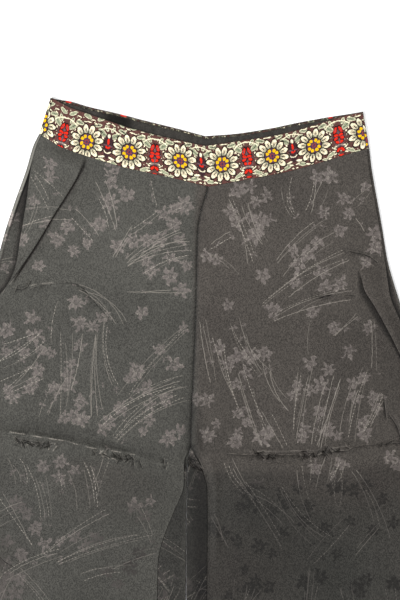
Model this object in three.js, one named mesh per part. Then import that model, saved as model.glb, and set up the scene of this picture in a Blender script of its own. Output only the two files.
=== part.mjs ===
// Palazzo pants in flower jacquard with a ribbon waistband, laid flat and face up.
// Millimetres, +Z up, +Y towards the waist. Left and right are as seen from above.
// Each leg is a flattened tube: its back panel lies on the table and turns up round the outer fold
// and the inner leg, and the front panel lies on it between the two seams.
import * as THREE from "three";

// Driving sizes
const LENGTH = 1100; // highest corner of the waist to the hem
const WALL = 1.2; // thickness of the cloth
const SEAM_GAP = 0.3; // between two pieces at a seam
const CREASE = 0.9; // radius of a folded edge, to the middle of the cloth
const BAND_HALF = 178; // waistband, from its centre V to a side fold
const BAND_STRIP = 3.2; // how far the back band comes round onto the front
const BAND_RISE_AT = 0.3; // share of the band's width over which it climbs onto its facing
const FACING_FROM = 0.36; // facing, as shares of the band's width
const FACING_TO = 0.93;

// Heights of the middle of each layer of cloth
const LOWER = WALL / 2; // on the table
const UPPER = LOWER + 2 * CREASE; // front panels
const FACING_HEIGHT = LOWER + WALL + SEAM_GAP;
const BAND_HEIGHT = FACING_HEIGHT + WALL + SEAM_GAP;

const HEM = -LENGTH / 2;
const WAIST_EASES_OUT = 230; // below this height the rows run straight across
const FOLD_SLOPE = 26; // longest way down from a fold's top layer to the side seam
const SLOPE_STEPS = [ // shares of that way and of the height that is left
  { along: 0.3, height: 0.84 },
  { along: 0.7, height: 0.16 },
  { along: 1, height: 0 },
];
const SEAM_ALLOWANCE = 1.2; // level strip of a front panel along its side seam
const FRONT_SPREAD = 6; // stretches of cloth between two bends, across a panel
const BACK_SPREAD = 9;
const BEND_STEPS = 3; // chords in a folded edge
const FLAP_OPENS = 6; // how late the inner leg's strip widens as it turns over

// Centre V of the front band, at its lower and top edge
const CENTRE = { low: 20.2, top: 16.5 };

// Line of the centre seams, front and back
const CENTRE_SEAM = [
  { y: 452, x: 20.2 },
  { y: 409, x: 9.1 },
  { y: 350, x: 7.2 },
  { y: 277, x: 5 },
  { y: 195, x: 1.4 },
  { y: 165, x: 0.8 },
];

// Half of the waistband, from the centre V (0) to the side fold (1): heights of the front band's
// lower and top edge, and how far the back band stands above the front one.
// outline: outer fold of the leg and its side seam, as distances from the middle of the garment.
// fold: the visible edge of a fold in the front panel, how deep it is and how far it is turned,
// from 0, flat, to 1, folded right over.
// inner: inner end of the front panel, innermost reach of the back panel, its turn up and over.
const LEFT = {
  sign: -1,
  end: { low: 166.5, top: 153.8 },
  waist: [
    { out: 0, low: 451.8, top: 496.8, behind: 10.5 },
    { out: 0.25, low: 463, top: 505.9, behind: 12.7 },
    { out: 0.5, low: 473.2, top: 517.1, behind: 12.3 },
    { out: 0.75, low: 487.3, top: 531.6, behind: 7.9 },
    { out: 0.875, low: 495.9, top: 539.1, behind: 6.6 },
    { out: 0.96, low: 505.5, top: 546.5, behind: 1.5 },
    { out: 1, low: 509.7, top: 550, behind: 0 },
  ],
  outline: [
    { y: 511, outer: 165.7, seam: 162.9 },
    { y: 497, outer: 172.7, seam: 169.2 },
    { y: 469, outer: 181, seam: 176 },
    { y: 436, outer: 192.8, seam: 180.4 },
    { y: 400, outer: 204.6, seam: 186.4 },
    { y: 363, outer: 214.5, seam: 192.8 },
    { y: 343, outer: 219.5, seam: 202 },
    { y: 330, outer: 223, seam: 212 },
    { y: 300, outer: 230.5, seam: 225 },
    { y: 216, outer: 252, seam: 248 },
    { y: 100, outer: 278, seam: 274 },
    { y: 0, outer: 294.5, seam: 290.5 },
    { y: -150, outer: 313.5, seam: 309.5 },
    { y: -350, outer: 337, seam: 333 },
    { y: HEM, outer: 360, seam: 356 },
  ],
  fold: [
    { y: 486, at: 113, depth: 1, turn: 0 },
    { y: 474, at: 118.4, depth: 2, turn: 0.5 },
    { y: 460, at: 124.8, depth: 4, turn: 1 },
    { y: 442, at: 135.4, depth: 6, turn: 1 },
    { y: 419, at: 150, depth: 8, turn: 1 },
    { y: 389, at: 167.8, depth: 6, turn: 1 },
    { y: 366, at: 183, depth: 2, turn: 0.8 },
    { y: 351, at: 192, depth: 1, turn: 0.4 },
    { y: 338, at: 198, depth: 1, turn: 0 },
    { y: 300, at: 212, depth: 1, turn: 0 },
    { y: HEM, at: 343, depth: 1, turn: 0 },
  ],
  inner: [
    { y: 165, front: -0.65, reach: -0.65, turn: 0 },
    { y: 158, front: 2.6, reach: 0.6, turn: 0 },
    { y: 151, front: 6.2, reach: 1.8, turn: 0.3 },
    { y: 144, front: 6.6, reach: 2.9, turn: 0.75 },
    { y: 137, front: 6.7, reach: 3.2, turn: 1 },
    { y: 124, front: 7, reach: 3.4, turn: 1 },
    { y: 114, front: 8.9, reach: 3.7, turn: 1 },
    { y: 98, front: 16, reach: 4.1, turn: 1 },
    { y: 65, front: 29.2, reach: 4.2, turn: 1 },
    { y: 37, front: 35.5, reach: 4.3, turn: 1 },
    { y: -100, front: 37, reach: 5.5, turn: 1 },
    { y: -300, front: 26, reach: 8, turn: 1 },
    { y: HEM, front: 18, reach: 11, turn: 1 },
  ],
};
const RIGHT = {
  sign: 1,
  end: { low: 197.8, top: 190.9 },
  waist: [
    { out: 0, low: 451.8, top: 496.8, behind: 10.5 },
    { out: 0.25, low: 460, top: 503, behind: 8.2 },
    { out: 0.5, low: 468.6, top: 510.4, behind: 8.6 },
    { out: 0.75, low: 481.2, top: 522.8, behind: 4.6 },
    { out: 0.875, low: 488, top: 529.6, behind: 1.2 },
    { out: 1, low: 494.2, top: 534.2, behind: 0 },
  ],
  outline: [
    { y: 495, outer: 197.7, seam: 194.8 },
    { y: 470, outer: 200.6, seam: 197.7 },
    { y: 408, outer: 211.6, seam: 208.7 },
    { y: 370, outer: 217.9, seam: 214.9 },
    { y: 349, outer: 223.6, seam: 217.8 },
    { y: 328, outer: 230.2, seam: 221.5 },
    { y: 310, outer: 236, seam: 229 },
    { y: 290, outer: 242.5, seam: 237.5 },
    { y: 216, outer: 260.5, seam: 256.5 },
    { y: 100, outer: 283, seam: 279 },
    { y: 0, outer: 298, seam: 294 },
    { y: -150, outer: 316, seam: 312 },
    { y: -350, outer: 338.5, seam: 334.5 },
    { y: HEM, outer: 360, seam: 356 },
  ],
  fold: [
    { y: 495, at: 175, depth: 1, turn: 0 },
    { y: 366, at: 184, depth: 1, turn: 0 },
    { y: 354, at: 187.5, depth: 2, turn: 0.6 },
    { y: 337, at: 192.1, depth: 4, turn: 1 },
    { y: 320, at: 202.7, depth: 6, turn: 1 },
    { y: 300, at: 213.9, depth: 7, turn: 1 },
    { y: 266, at: 231, depth: 3, turn: 1 },
    { y: 248, at: 237, depth: 1, turn: 0.4 },
    { y: 230, at: 242, depth: 1, turn: 0 },
    { y: HEM, at: 344, depth: 1, turn: 0 },
  ],
  inner: [
    { y: 165, front: 0.95, reach: 0.95, turn: 0 },
    { y: 158, front: 5, reach: -0.3, turn: 0 },
    { y: 151, front: 9.2, reach: -1.4, turn: 0.3 },
    { y: 144, front: 12.2, reach: -2.3, turn: 0.75 },
    { y: 137, front: 14.5, reach: -2.7, turn: 1 },
    { y: 119, front: 19, reach: -3.1, turn: 1 },
    { y: 98, front: 19.3, reach: -3.6, turn: 1 },
    { y: 37, front: 19.1, reach: -3.8, turn: 1 },
    { y: -100, front: 18, reach: -3.5, turn: 1 },
    { y: -300, front: 15, reach: 0, turn: 1 },
    { y: HEM, front: 12, reach: 4, turn: 1 },
  ],
};

// Heights of a leg panel's rows at the centre, below its own top edge
const LEVELS = [
  437, 424, 411, 398, 385, 372, 360, 348, 336, 322, 306, 288, 268, 244, 216, 188, 165, 158, 151,
  144, 137, 128, 114, 98, 80, 62, 37, -30, -130, -260, -400, HEM,
];
const BAND_ROWS = [0, BAND_RISE_AT, 0.65, 1];
const BAND_STATIONS = 28;
const CLOSING_IN = 12; // rounds of closing in on where a row crosses a line

const mix = THREE.MathUtils.lerp;

// Slope of a table's column at one of its rows, level at a peak so that the curve never overshoots.
function slopeAt(table, key, column, i) {
  const slope = (a, b) => (b[column] - a[column]) / (b[key] - a[key]);
  if (i === 0) return slope(table[0], table[1]);
  if (i === table.length - 1) return slope(table[i - 1], table[i]);
  const [before, after] = [slope(table[i - 1], table[i]), slope(table[i], table[i + 1])];
  if (before * after <= 0) return 0;
  const steepest = 3 * Math.min(Math.abs(before), Math.abs(after));
  const through = slope(table[i - 1], table[i + 1]);
  return Math.sign(through) * Math.min(Math.abs(through), steepest);
}

// A table's column between its rows on a smooth curve, and straight on past its ends.
function read(table, key, column, at) {
  const way = Math.sign(table[table.length - 1][key] - table[0][key]);
  const last = table.length - 1;
  if (way * (at - table[0][key]) <= 0)
    return table[0][column] + slopeAt(table, key, column, 0) * (at - table[0][key]);
  if (way * (at - table[last][key]) >= 0)
    return table[last][column] + slopeAt(table, key, column, last) * (at - table[last][key]);
  const i = table.findIndex((row) => way * (row[key] - at) > 0) - 1;
  const [a, b] = [table[i], table[i + 1]];
  const span = b[key] - a[key];
  const t = (at - a[key]) / span;
  const bow = (t - 1) * (1 - t) * t;
  const lean = b[column] - a[column];
  const startPull = bow * (lean - slopeAt(table, key, column, i) * span);
  const endPull = t * t * (1 - t) * (lean - slopeAt(table, key, column, i + 1) * span);
  return mix(a[column], b[column], t) + startPull + endPull;
}

// A column that stays within its two end rows.
function readWithin(table, key, column, at) {
  const ends = [table[0][key], table[table.length - 1][key]];
  return read(table, key, column, THREE.MathUtils.clamp(at, Math.min(...ends), Math.max(...ends)));
}

// A walk across the cloth, along the middle of its thickness: across, height.
class Walk {
  constructor(across, height, heading) {
    this.points = [new THREE.Vector2(across, height)];
    this.heading = heading;
  }
  get end() {
    return this.points[this.points.length - 1];
  }
  ahead(length) {
    const step = new THREE.Vector2(length, 0).rotateAround(new THREE.Vector2(), this.heading);
    this.points.push(this.end.clone().add(step));
    return this;
  }
  // Turns by an angle over chords as long as the bend's radius, so a full turn is a round edge.
  bend(angle, radius) {
    const part = angle / BEND_STEPS;
    this.heading += part / 2;
    for (let i = 0; i < BEND_STEPS; i++) {
      this.ahead(radius);
      this.heading += i < BEND_STEPS - 1 ? part : part / 2;
    }
    return this;
  }
  // Straight to a place further along, in equal steps.
  to(across, height, steps) {
    const start = this.end.clone();
    const goal = new THREE.Vector2(across, height);
    for (let i = 1; i <= steps; i++) this.points.push(start.clone().lerp(goal, i / steps));
    return this;
  }
  // Slides the whole walk so that its leftmost face lies at a given reach.
  reachTo(reach) {
    const shift = reach - Math.min(...outlineOf(this.points).map((point) => point.x));
    this.points.forEach((point) => (point.x += shift));
    return this;
  }
}

// Closed outline of a cloth whose middle is a row of points.
function outlineOf(points) {
  const sides = points.map((point, i) => {
    const before = point.clone().sub(points[Math.max(i - 1, 0)]);
    const after = points[Math.min(i + 1, points.length - 1)].clone().sub(point);
    if (i === 0) before.copy(after);
    if (i === points.length - 1) after.copy(before);
    const first = new THREE.Vector2(-before.y, before.x).normalize();
    const normal = new THREE.Vector2(-after.y, after.x).normalize().add(first).normalize();
    return normal.multiplyScalar(WALL / 2 / normal.dot(first));
  });
  const upper = points.map((point, i) => point.clone().add(sides[i]));
  const under = points.map((point, i) => point.clone().sub(sides[i]));
  return [...upper, ...under.reverse()];
}

// Closed solid through rings of equal length, with both ends filled by the wall's thickness.
function loft(rings) {
  const size = rings[0].length;
  const half = size / 2;
  const index = [];
  const quad = (a, b, c, d) => index.push(a, b, c, a, c, d);
  for (let i = 0; i + 1 < rings.length; i++)
    for (let j = 0; j < size; j++) {
      const next = (j + 1) % size;
      quad(i * size + j, i * size + next, (i + 1) * size + next, (i + 1) * size + j);
    }
  const last = (rings.length - 1) * size;
  for (let j = 0; j + 1 < half; j++) {
    const [opposite, following] = [size - 1 - j, size - 2 - j];
    quad(j, opposite, following, j + 1);
    quad(last + j, last + j + 1, last + following, last + opposite);
  }
  const points = rings.flat();
  if (volume(points, index) < 0) index.reverse();
  return new THREE.BufferGeometry().setFromPoints(points).setIndex(index);
}

function volume(points, index) {
  let sum = 0;
  const normal = new THREE.Vector3();
  for (let i = 0; i < index.length; i += 3) {
    const [a, b, c] = [points[index[i]], points[index[i + 1]], points[index[i + 2]]];
    sum += a.dot(normal.crossVectors(b, c));
  }
  return sum / 6;
}

// Height up the garment of the waist seam: behind is 0 for the front band and 1 for the back one.
function waistSeam(x, behind) {
  const side = x < CENTRE.low ? LEFT : RIGHT;
  const out = (x - CENTRE.low) / (side.sign * side.end.low - CENTRE.low);
  const low = read(side.waist, "out", "low", out);
  return low + behind * readWithin(side.waist, "out", "behind", out) - SEAM_GAP;
}

// Rows of one leg panel: each follows the waist seam near the top and runs straight lower down.
function rowsOf(behind) {
  const top = waistSeam(CENTRE.low, 0);
  const lower = LEVELS.map((level) => {
    const follow = THREE.MathUtils.smoothstep(level, WAIST_EASES_OUT, top);
    return (x) => level + follow * (waistSeam(x, 0) - top);
  });
  return [(x) => waistSeam(x, behind), ...lower];
}

// Where a row crosses a line given as distances out from the middle at each height.
function crossing(row, sign, line) {
  let out = line(row(0));
  for (let i = 0; i < CLOSING_IN; i++) out = line(row(sign * out));
  return out;
}

function centreAt(sign, y) {
  return sign * read(CENTRE_SEAM, "y", "x", y) + SEAM_GAP / 2;
}

function innerAt(side, column, y) {
  const start = side.inner[0];
  if (y < start.y) return readWithin(side.inner, "y", column, y);
  return column === "turn" ? 0 : centreAt(side.sign, y);
}

// Section of a front panel from its inner edge out to the side seam, over its one big fold.
function frontSection(side, row) {
  const { sign, fold, outline } = side;
  const at = crossing(row, sign, (y) => read(fold, "y", "at", y));
  const y = row(sign * at);
  const turn = readWithin(fold, "y", "turn", y);
  const depth = readWithin(fold, "y", "depth", y);
  const inner = crossing(row, sign, (height) => innerAt(side, "front", height));
  const seam = crossing(row, sign, (height) => read(outline, "y", "seam", height)) - SEAM_GAP / 2;
  const edge = new Walk(0, UPPER, 0)
    .bend(Math.PI * turn, CREASE)
    .ahead(depth)
    .bend(-Math.PI * turn, CREASE);
  const edgeAt = Math.min(...edge.points.slice(1 + BEND_STEPS).map((point) => point.x));
  edge.points.forEach((point) => (point.x += at + turn * (WALL / 2) - edgeAt));
  const walk = new Walk(inner, UPPER, 0).to(edge.points[0].x, UPPER, FRONT_SPREAD);
  walk.points.push(...edge.points.slice(1));
  const top = walk.end.clone();
  const foot = seam - SEAM_ALLOWANCE;
  const slope = Math.min(FOLD_SLOPE, (foot - top.x) * 0.85);
  walk.to(foot - slope, top.y, 1);
  for (const { along, height } of SLOPE_STEPS)
    walk.to(foot - slope * (1 - along), mix(UPPER, top.y, height), 1);
  return walk.to(seam, UPPER, 1);
}

// Section of a back panel from its side seam, round the outer fold, across the table and up round
// the inner leg.
function backSection(side, row) {
  const { sign, outline } = side;
  const seam = crossing(row, sign, (y) => read(outline, "y", "seam", y)) + SEAM_GAP / 2;
  const outer = crossing(row, sign, (y) => read(outline, "y", "outer", y));
  const front = crossing(row, sign, (y) => innerAt(side, "front", y)) - SEAM_GAP;
  const reach = crossing(row, sign, (y) => innerAt(side, "reach", y));
  const turn = innerAt(side, "turn", row(sign * reach));
  const round = outer - WALL / 2 - CREASE;
  const flap = Math.max(front - reach - WALL / 2 - CREASE, 1);
  const walk = new Walk(seam, UPPER, 0).to(round, UPPER, 1).bend(-Math.PI, CREASE);
  const inner = new Walk(0, LOWER, Math.PI).bend(-Math.PI * turn, CREASE);
  inner.ahead(mix(1, flap, turn ** FLAP_OPENS));
  inner.reachTo(reach);
  walk.to(inner.points[0].x, LOWER, BACK_SPREAD);
  walk.points.push(...inner.points.slice(1));
  return walk;
}

function legPanel(side, behind, section) {
  return loft(
    rowsOf(behind).map((row) =>
      outlineOf(section(side, row).points).map(
        ({ x, y }) => new THREE.Vector3(side.sign * x, row(side.sign * x), y),
      ),
    ),
  );
}

// A point of the waistband: along from its centre V, up its width from 0 to 1, at a height.
function bandPoint(along, up, height, behind) {
  const side = along < 0 ? LEFT : RIGHT;
  const out = Math.abs(along) / BAND_HALF;
  const centre = mix(CENTRE.low, CENTRE.top, up);
  const end = side.sign * mix(side.end.low, side.end.top, up);
  const edge = (column) => read(side.waist, "out", column, out);
  const lift = behind * readWithin(side.waist, "out", "behind", out);
  return new THREE.Vector3(mix(centre, end, out), mix(edge("low"), edge("top"), up) + lift, height);
}

function bandSolid(behind, rows, section) {
  return loft(
    rows.map((up) =>
      outlineOf(section(up).points).map(({ x, y }) => bandPoint(x, up, y, behind)),
    ),
  );
}

// Half the height between the back band on the table and the front band over it.
function bandTurn(up) {
  return mix(CREASE, (BAND_HEIGHT - LOWER) / 2, Math.min(up / BAND_RISE_AT, 1));
}

function frontBandSection(up) {
  const half = BAND_HALF - BAND_STRIP - SEAM_GAP / 2;
  const height = LOWER + 2 * bandTurn(up);
  return new Walk(-half, height, 0).to(0, height, BAND_STATIONS / 2).to(half, height, BAND_STATIONS / 2);
}

function backBandSection(up) {
  const turn = bandTurn(up);
  const height = LOWER + 2 * turn;
  const strip = BAND_HALF - BAND_STRIP + SEAM_GAP / 2;
  const round = BAND_HALF - WALL / 2 - turn;
  return new Walk(strip, height, 0)
    .to(round, height, 1)
    .bend(-Math.PI, turn)
    .to(0, LOWER, BAND_STATIONS / 2)
    .to(-round, LOWER, BAND_STATIONS / 2)
    .bend(-Math.PI, turn)
    .to(-strip, height, 1);
}

function facingSection() {
  const half = BAND_HALF - BAND_STRIP;
  return new Walk(-half, FACING_HEIGHT, 0)
    .to(0, FACING_HEIGHT, BAND_STATIONS / 2)
    .to(half, FACING_HEIGHT, BAND_STATIONS / 2);
}

function piece(name, geometry, color, roughness) {
  const flat = geometry.toNonIndexed();
  flat.computeVertexNormals();
  const material = new THREE.MeshStandardMaterial({ color, roughness, metalness: 0 });
  const mesh = new THREE.Mesh(flat, material);
  mesh.name = name;
  return mesh;
}

const JACQUARD = 0x504e49;
const RIBBON = 0xb8a08c;
const PLAIN = 0x2c2927;

const pants = new THREE.Group();
pants.add(
  piece("back_left", legPanel(LEFT, 1, backSection), JACQUARD, 0.55),
  piece("back_right", legPanel(RIGHT, 1, backSection), JACQUARD, 0.55),
  piece("front_left", legPanel(LEFT, 0, frontSection), JACQUARD, 0.55),
  piece("front_right", legPanel(RIGHT, 0, frontSection), JACQUARD, 0.55),
  piece("waistband_back", bandSolid(1, BAND_ROWS, backBandSection), RIBBON, 0.7),
  piece(
    "waistband_back_facing",
    bandSolid(1, [FACING_FROM, 0.65, FACING_TO], facingSection),
    PLAIN,
    0.8,
  ),
  piece("waistband_front", bandSolid(0, BAND_ROWS, frontBandSection), RIBBON, 0.7),
);

export default pants;
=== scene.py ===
# %% [markdown]
# # Palazzo pants in flower jacquard, laid flat and face up
# Wide trousers lie on a table: two front panels on two back panels, and a ribbon waistband that
# dips to a V at the front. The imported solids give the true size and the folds. Here each solid is
# stood for by a thin cloth shell on the same form, with finer creases and a woven pattern.
# Lengths are written in millimetres and turned to metres when a mesh is made.

# %% Load the fixed frame
import math

import bpy
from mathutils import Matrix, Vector
import numpy as np


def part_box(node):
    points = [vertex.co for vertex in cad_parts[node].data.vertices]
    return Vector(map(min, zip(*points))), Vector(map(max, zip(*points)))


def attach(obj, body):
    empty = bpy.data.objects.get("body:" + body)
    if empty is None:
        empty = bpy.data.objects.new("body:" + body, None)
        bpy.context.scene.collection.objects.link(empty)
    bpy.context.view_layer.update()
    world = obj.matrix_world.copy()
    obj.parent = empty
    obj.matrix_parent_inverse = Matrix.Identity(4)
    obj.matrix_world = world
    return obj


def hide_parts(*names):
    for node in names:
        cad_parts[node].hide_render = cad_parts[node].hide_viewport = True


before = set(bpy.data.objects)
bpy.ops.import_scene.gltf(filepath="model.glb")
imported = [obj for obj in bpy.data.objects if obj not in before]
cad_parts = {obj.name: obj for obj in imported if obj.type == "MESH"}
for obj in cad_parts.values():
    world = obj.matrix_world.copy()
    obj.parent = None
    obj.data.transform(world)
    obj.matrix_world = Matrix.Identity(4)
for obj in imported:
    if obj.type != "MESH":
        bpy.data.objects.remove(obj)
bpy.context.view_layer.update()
MM = 0.001
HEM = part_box("front_left")[0].y / MM
print("hem at", round(HEM), "mm; nodes:", ", ".join(sorted(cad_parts)))

# %% [markdown]
# ## Camera, table and light
# The pants are seen straight from above, with the waist at the top, and the legs run out of the
# picture. A long lens keeps the sides from leaning. The table is a plain pale sheet, and large
# soft lamps stand on the left so that every fold throws a gentle shade to its right.

# %% Camera
FRAME_HEIGHT = 660
FRAME_MIDDLE = (11, 326.7)
LENS = 100
SENSOR = 36
CLOTH_TOP = 6

camera = bpy.data.objects.new("camera", bpy.data.cameras.new("camera"))
bpy.context.scene.collection.objects.link(camera)
camera.data.lens = LENS
camera.data.sensor_width = SENSOR
camera_height = FRAME_HEIGHT / 2 / (SENSOR / 2 / LENS) + CLOTH_TOP
camera.location = (FRAME_MIDDLE[0] * MM, FRAME_MIDDLE[1] * MM, camera_height * MM)
bpy.context.scene.camera = camera
print("camera", round(camera_height), "mm above the table")

# %% Table and lamps, in metres
TABLE_WIDTH = 8
TABLE_DROP = 0.0004
TABLE_WHITE = 0.93
AIR_LIGHT = 0.75


def new_material(name):
    material = bpy.data.materials.new(name)
    material.use_nodes = True
    return material, material.node_tree, material.node_tree.nodes["Principled BSDF"]


def lamp(name, place, aim, size, power):
    light = bpy.data.objects.new(name, bpy.data.lights.new(name, "AREA"))
    light.data.shape = "DISK"
    light.data.size = size
    light.data.energy = power
    light.location = place
    way = light.location - Vector(aim)
    light.rotation_euler = way.to_track_quat("Z", "Y").to_euler()
    bpy.context.scene.collection.objects.link(light)


pale, _, pale_shader = new_material("pale table")
pale_shader.inputs["Base Color"].default_value = (TABLE_WHITE, TABLE_WHITE, TABLE_WHITE, 1)
pale_shader.inputs["Roughness"].default_value = 0.9
bpy.ops.mesh.primitive_plane_add(size=TABLE_WIDTH, location=(0, 0, -TABLE_DROP))
table = bpy.context.object
table.name = "table_top"
table.data.materials.append(pale)

lamp("key lamp", (-1.5, -0.25, 1.65), (0, 0.2, 0), 0.7, 64)
lamp("fill lamp", (0.9, 0.9, 2.4), (0, 0.2, 0), 1.8, 24)

world = bpy.data.worlds.new("studio air")
world.use_nodes = True
air = world.node_tree.nodes["Background"]
air.inputs["Color"].default_value = (1, 1, 1, 1)
air.inputs["Strength"].default_value = AIR_LIGHT
bpy.context.scene.world = world
bpy.context.scene.view_settings.view_transform = "Standard"
print("table", TABLE_WIDTH, "m wide;", len(bpy.data.lights), "lamps")

# %% [markdown]
# ## Smooth curves through short tables
# A pattern cutter notes an edge by a few measurements and draws one fair curve through them. The
# same is done here: a table has named columns, and a column is read as a curve that passes
# through every row and never swings past a peak.

# %% Curves through tables


def slopes(at, value):
    step = np.diff(value) / np.diff(at)
    steepest = 3 * np.minimum(abs(step[:-1]), abs(step[1:]))
    through = (value[2:] - value[:-2]) / (at[2:] - at[:-2])
    inner = np.sign(through) * np.minimum(abs(through), steepest)
    return np.concatenate([step[:1], np.where(step[:-1] * step[1:] > 0, inner, 0), step[-1:]])


def curve(table, key, column, within=False):
    """A column as a function of the key column: straight on past its ends, or held within them."""
    at, value = np.array(table[key], float), np.array(table[column], float)
    if at[0] > at[-1]:
        at, value = at[::-1], value[::-1]
    slope = slopes(at, value)

    def read(place):
        inside = np.clip(place, at[0], at[-1])
        i = np.clip(np.searchsorted(at, inside) - 1, 0, len(at) - 2)
        span = at[i + 1] - at[i]
        t = (inside - at[i]) / span
        bow = t * (1 - t)
        lean = value[i + 1] - value[i]
        found = value[i] + lean * t + bow * (1 - t) * (slope[i] * span - lean)
        found = found - bow * t * (slope[i + 1] * span - lean)
        beyond = 0 if within else place - inside
        return found + beyond * np.where(np.less(beyond, 0), slope[0], slope[-1])

    return read


def ease(value, low, high):
    t = np.clip((value - low) / (high - low), 0, 1)
    return t * t * (3 - 2 * t)


# %% [markdown]
# ## The cut and the lie of the two legs
# These are the same measurements as in the solids: the waist seam and the top of the band, the
# outer fold and the side seam, the one big fold in each front panel, and the inner leg. Distances
# run outward from the middle of the garment, so one set of functions serves both legs.

# %% Measurements of the two legs
SEAM_GAP = 0.3
CREASE = 0.9
WALL = 1.2
LOWER = WALL / 2
UPPER = LOWER + 2 * CREASE
FACING_HEIGHT = LOWER + WALL + SEAM_GAP
BAND_HEIGHT = FACING_HEIGHT + WALL + SEAM_GAP
BAND_HALF = 178
BAND_STRIP = 3.2
BAND_RISE_AT = 0.3
CENTRE_LOW = 20.2
CENTRE_TOP = 16.5
CENTRE_SEAM = {"y": [452, 409, 350, 277, 195, 165], "x": [20.2, 9.1, 7.2, 5, 1.4, 0.8]}
CROTCH = (150, 166)

# %% Left leg
LEFT = {
    "sign": -1,
    "end_low": 166.5,
    "end_top": 153.8,
    "waist": {
        "out": [0, 0.25, 0.5, 0.75, 0.875, 0.96, 1],
        "low": [451.8, 463, 473.2, 487.3, 495.9, 505.5, 509.7],
        "top": [496.8, 505.9, 517.1, 531.6, 539.1, 546.5, 550],
        "behind": [10.5, 12.7, 12.3, 7.9, 6.6, 1.5, 0],
    },
    "outline": {
        "y": [511, 497, 469, 436, 400, 363, 343, 330, 300, 216, 100, 0, -150, -350, HEM],
        "outer": [
            165.7, 172.7, 181, 192.8, 204.6, 214.5, 219.5, 223, 230.5, 252, 278, 294.5, 313.5, 337, 360,
        ],
        "seam": [162.9, 169.2, 176, 180.4, 186.4, 192.8, 202, 212, 225, 248, 274, 290.5, 309.5, 333, 356],
    },
    "fold": {
        "y": [486, 474, 460, 442, 419, 389, 366, 351, 338, 300, HEM],
        "at": [113, 118.4, 124.8, 135.4, 150, 167.8, 183, 192, 198, 212, 343],
        "depth": [1, 2, 4, 6, 8, 6, 2, 1, 1, 1, 1],
        "turn": [0, 0.5, 1, 1, 1, 1, 0.8, 0.4, 0, 0, 0],
        # gap: width of the painted shade under the fold's edge
        "gap": [1, 1.3, 1.6, 1.6, 1.6, 1.8, 2, 1.6, 1, 1, 1],
    },
    # Painted light: shade under the fold's edge; shade on the strip beyond the side seam, by height; and
    # along the outer fold, by distance in, a painted highlight (below 0) then a painted dark line (above 0),
    # weaker below the heights that follow
    "fold_shade": 0.55,
    "strip_shade": {"y": [520, 425, 405, HEM], "shade": [0.52, 0.48, 0.05, 0.1]},
    "rim_shade": {"in": [0, 0.8, 1.8, 2.9, 3.6, 4.6, 5.6], "shade": [-0.9, -1.5, -3.4, -3, 0.9, 0.9, 0]},
    "rim_below": (0.35, 398, 425),
    "inner": {
        "y": [165, 158, 151, 144, 137, 124, 114, 98, 65, 37, -100, -300, HEM],
        "front": [-0.65, 2.6, 6.2, 6.6, 6.7, 7, 8.9, 16, 29.2, 35.5, 37, 26, 18],
        "reach": [-0.65, 0.6, 1.8, 2.9, 3.2, 3.4, 3.7, 4.1, 4.2, 4.3, 5.5, 8, 11],
        "turn": [0, 0, 0.3, 0.75, 1, 1, 1, 1, 1, 1, 1, 1, 1],
    },
}

# %% Right leg
RIGHT = {
    "sign": 1,
    "end_low": 197.8,
    "end_top": 190.9,
    "waist": {
        "out": [0, 0.25, 0.5, 0.75, 0.875, 1],
        "low": [451.8, 460, 468.6, 481.2, 488, 494.2],
        "top": [496.8, 503, 510.4, 522.8, 529.6, 534.2],
        "behind": [10.5, 8.2, 8.6, 4.6, 1.2, 0],
    },
    "outline": {
        "y": [495, 470, 408, 370, 349, 328, 310, 290, 216, 100, 0, -150, -350, HEM],
        "outer": [197.7, 200.6, 211.6, 217.9, 223.6, 230.2, 236, 242.5, 260.5, 283, 298, 316, 338.5, 360],
        "seam": [194.8, 197.7, 208.7, 214.9, 217.8, 221.5, 229, 237.5, 256.5, 279, 294, 312, 334.5, 356],
    },
    "fold": {
        "y": [495, 366, 354, 337, 320, 300, 266, 248, 230, HEM],
        "at": [175, 184, 187.5, 192.1, 202.7, 213.9, 231, 237, 242, 344],
        "depth": [1, 1, 2, 4, 6, 7, 3, 1, 1, 1],
        "turn": [0, 0, 0.6, 1, 1, 1, 1, 0.4, 0, 0],
        # gap: width of the painted shade under the fold's edge
        "gap": [1, 1.5, 2.5, 6, 7.5, 6.5, 2, 1, 1, 1],
    },
    # Painted light, as for the left leg
    "fold_shade": 0.6,
    "strip_shade": {"y": [500, HEM], "shade": [0.2, 0.2]},
    "rim_shade": {"in": [0, 1, 3], "shade": [-0.8, -0.8, 0]},
    "rim_below": (1, 0, 1),
    "inner": {
        "y": [165, 158, 151, 144, 137, 119, 98, 37, -100, -300, HEM],
        "front": [0.95, 5, 9.2, 12.2, 14.5, 19, 19.3, 19.1, 18, 15, 12],
        "reach": [0.95, -0.3, -1.4, -2.3, -2.7, -3.1, -3.6, -3.8, -3.5, 0, 4],
        "turn": [0, 0, 0.3, 0.75, 1, 1, 1, 1, 1, 1, 1],
    },
}

# %% [markdown]
# ## Rows up the garment
# A leg panel is made row by row. Near the top a row follows the dip of the waist seam, and lower
# down it runs straight across, as the threads do. The rows lie closest where the cloth is most
# crumpled, so no faces are wasted on the smooth lower legs.

# %% Rows
WAIST_EASES_OUT = 230
BACK_RISES_FROM = 437
ROW_STEPS = [(352, 3), (318, 1.6), (205, 3), (128, 1.25), (-30, 2.6), (HEM, 10)]
CLOSING_IN = 12


def waist_seam(x, behind=0):
    height = 0
    for side in (LEFT, RIGHT):
        out = (x - CENTRE_LOW) / (side["sign"] * side["end_low"] - CENTRE_LOW)
        lift = curve(side["waist"], "out", "behind", within=True)(out)
        low = curve(side["waist"], "out", "low")(out) + behind * lift - SEAM_GAP
        height = height + low * ((x < CENTRE_LOW) == (side["sign"] < 0))
    return height


WAIST_TOP = float(waist_seam(np.array([CENTRE_LOW]))[0])


def row_levels():
    levels = [WAIST_TOP]
    for low, step in ROW_STEPS:
        count = math.ceil((levels[-1] - low) / step)
        levels += list(np.linspace(levels[-1], low, count + 1)[1:])
    return np.array(levels)


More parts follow.
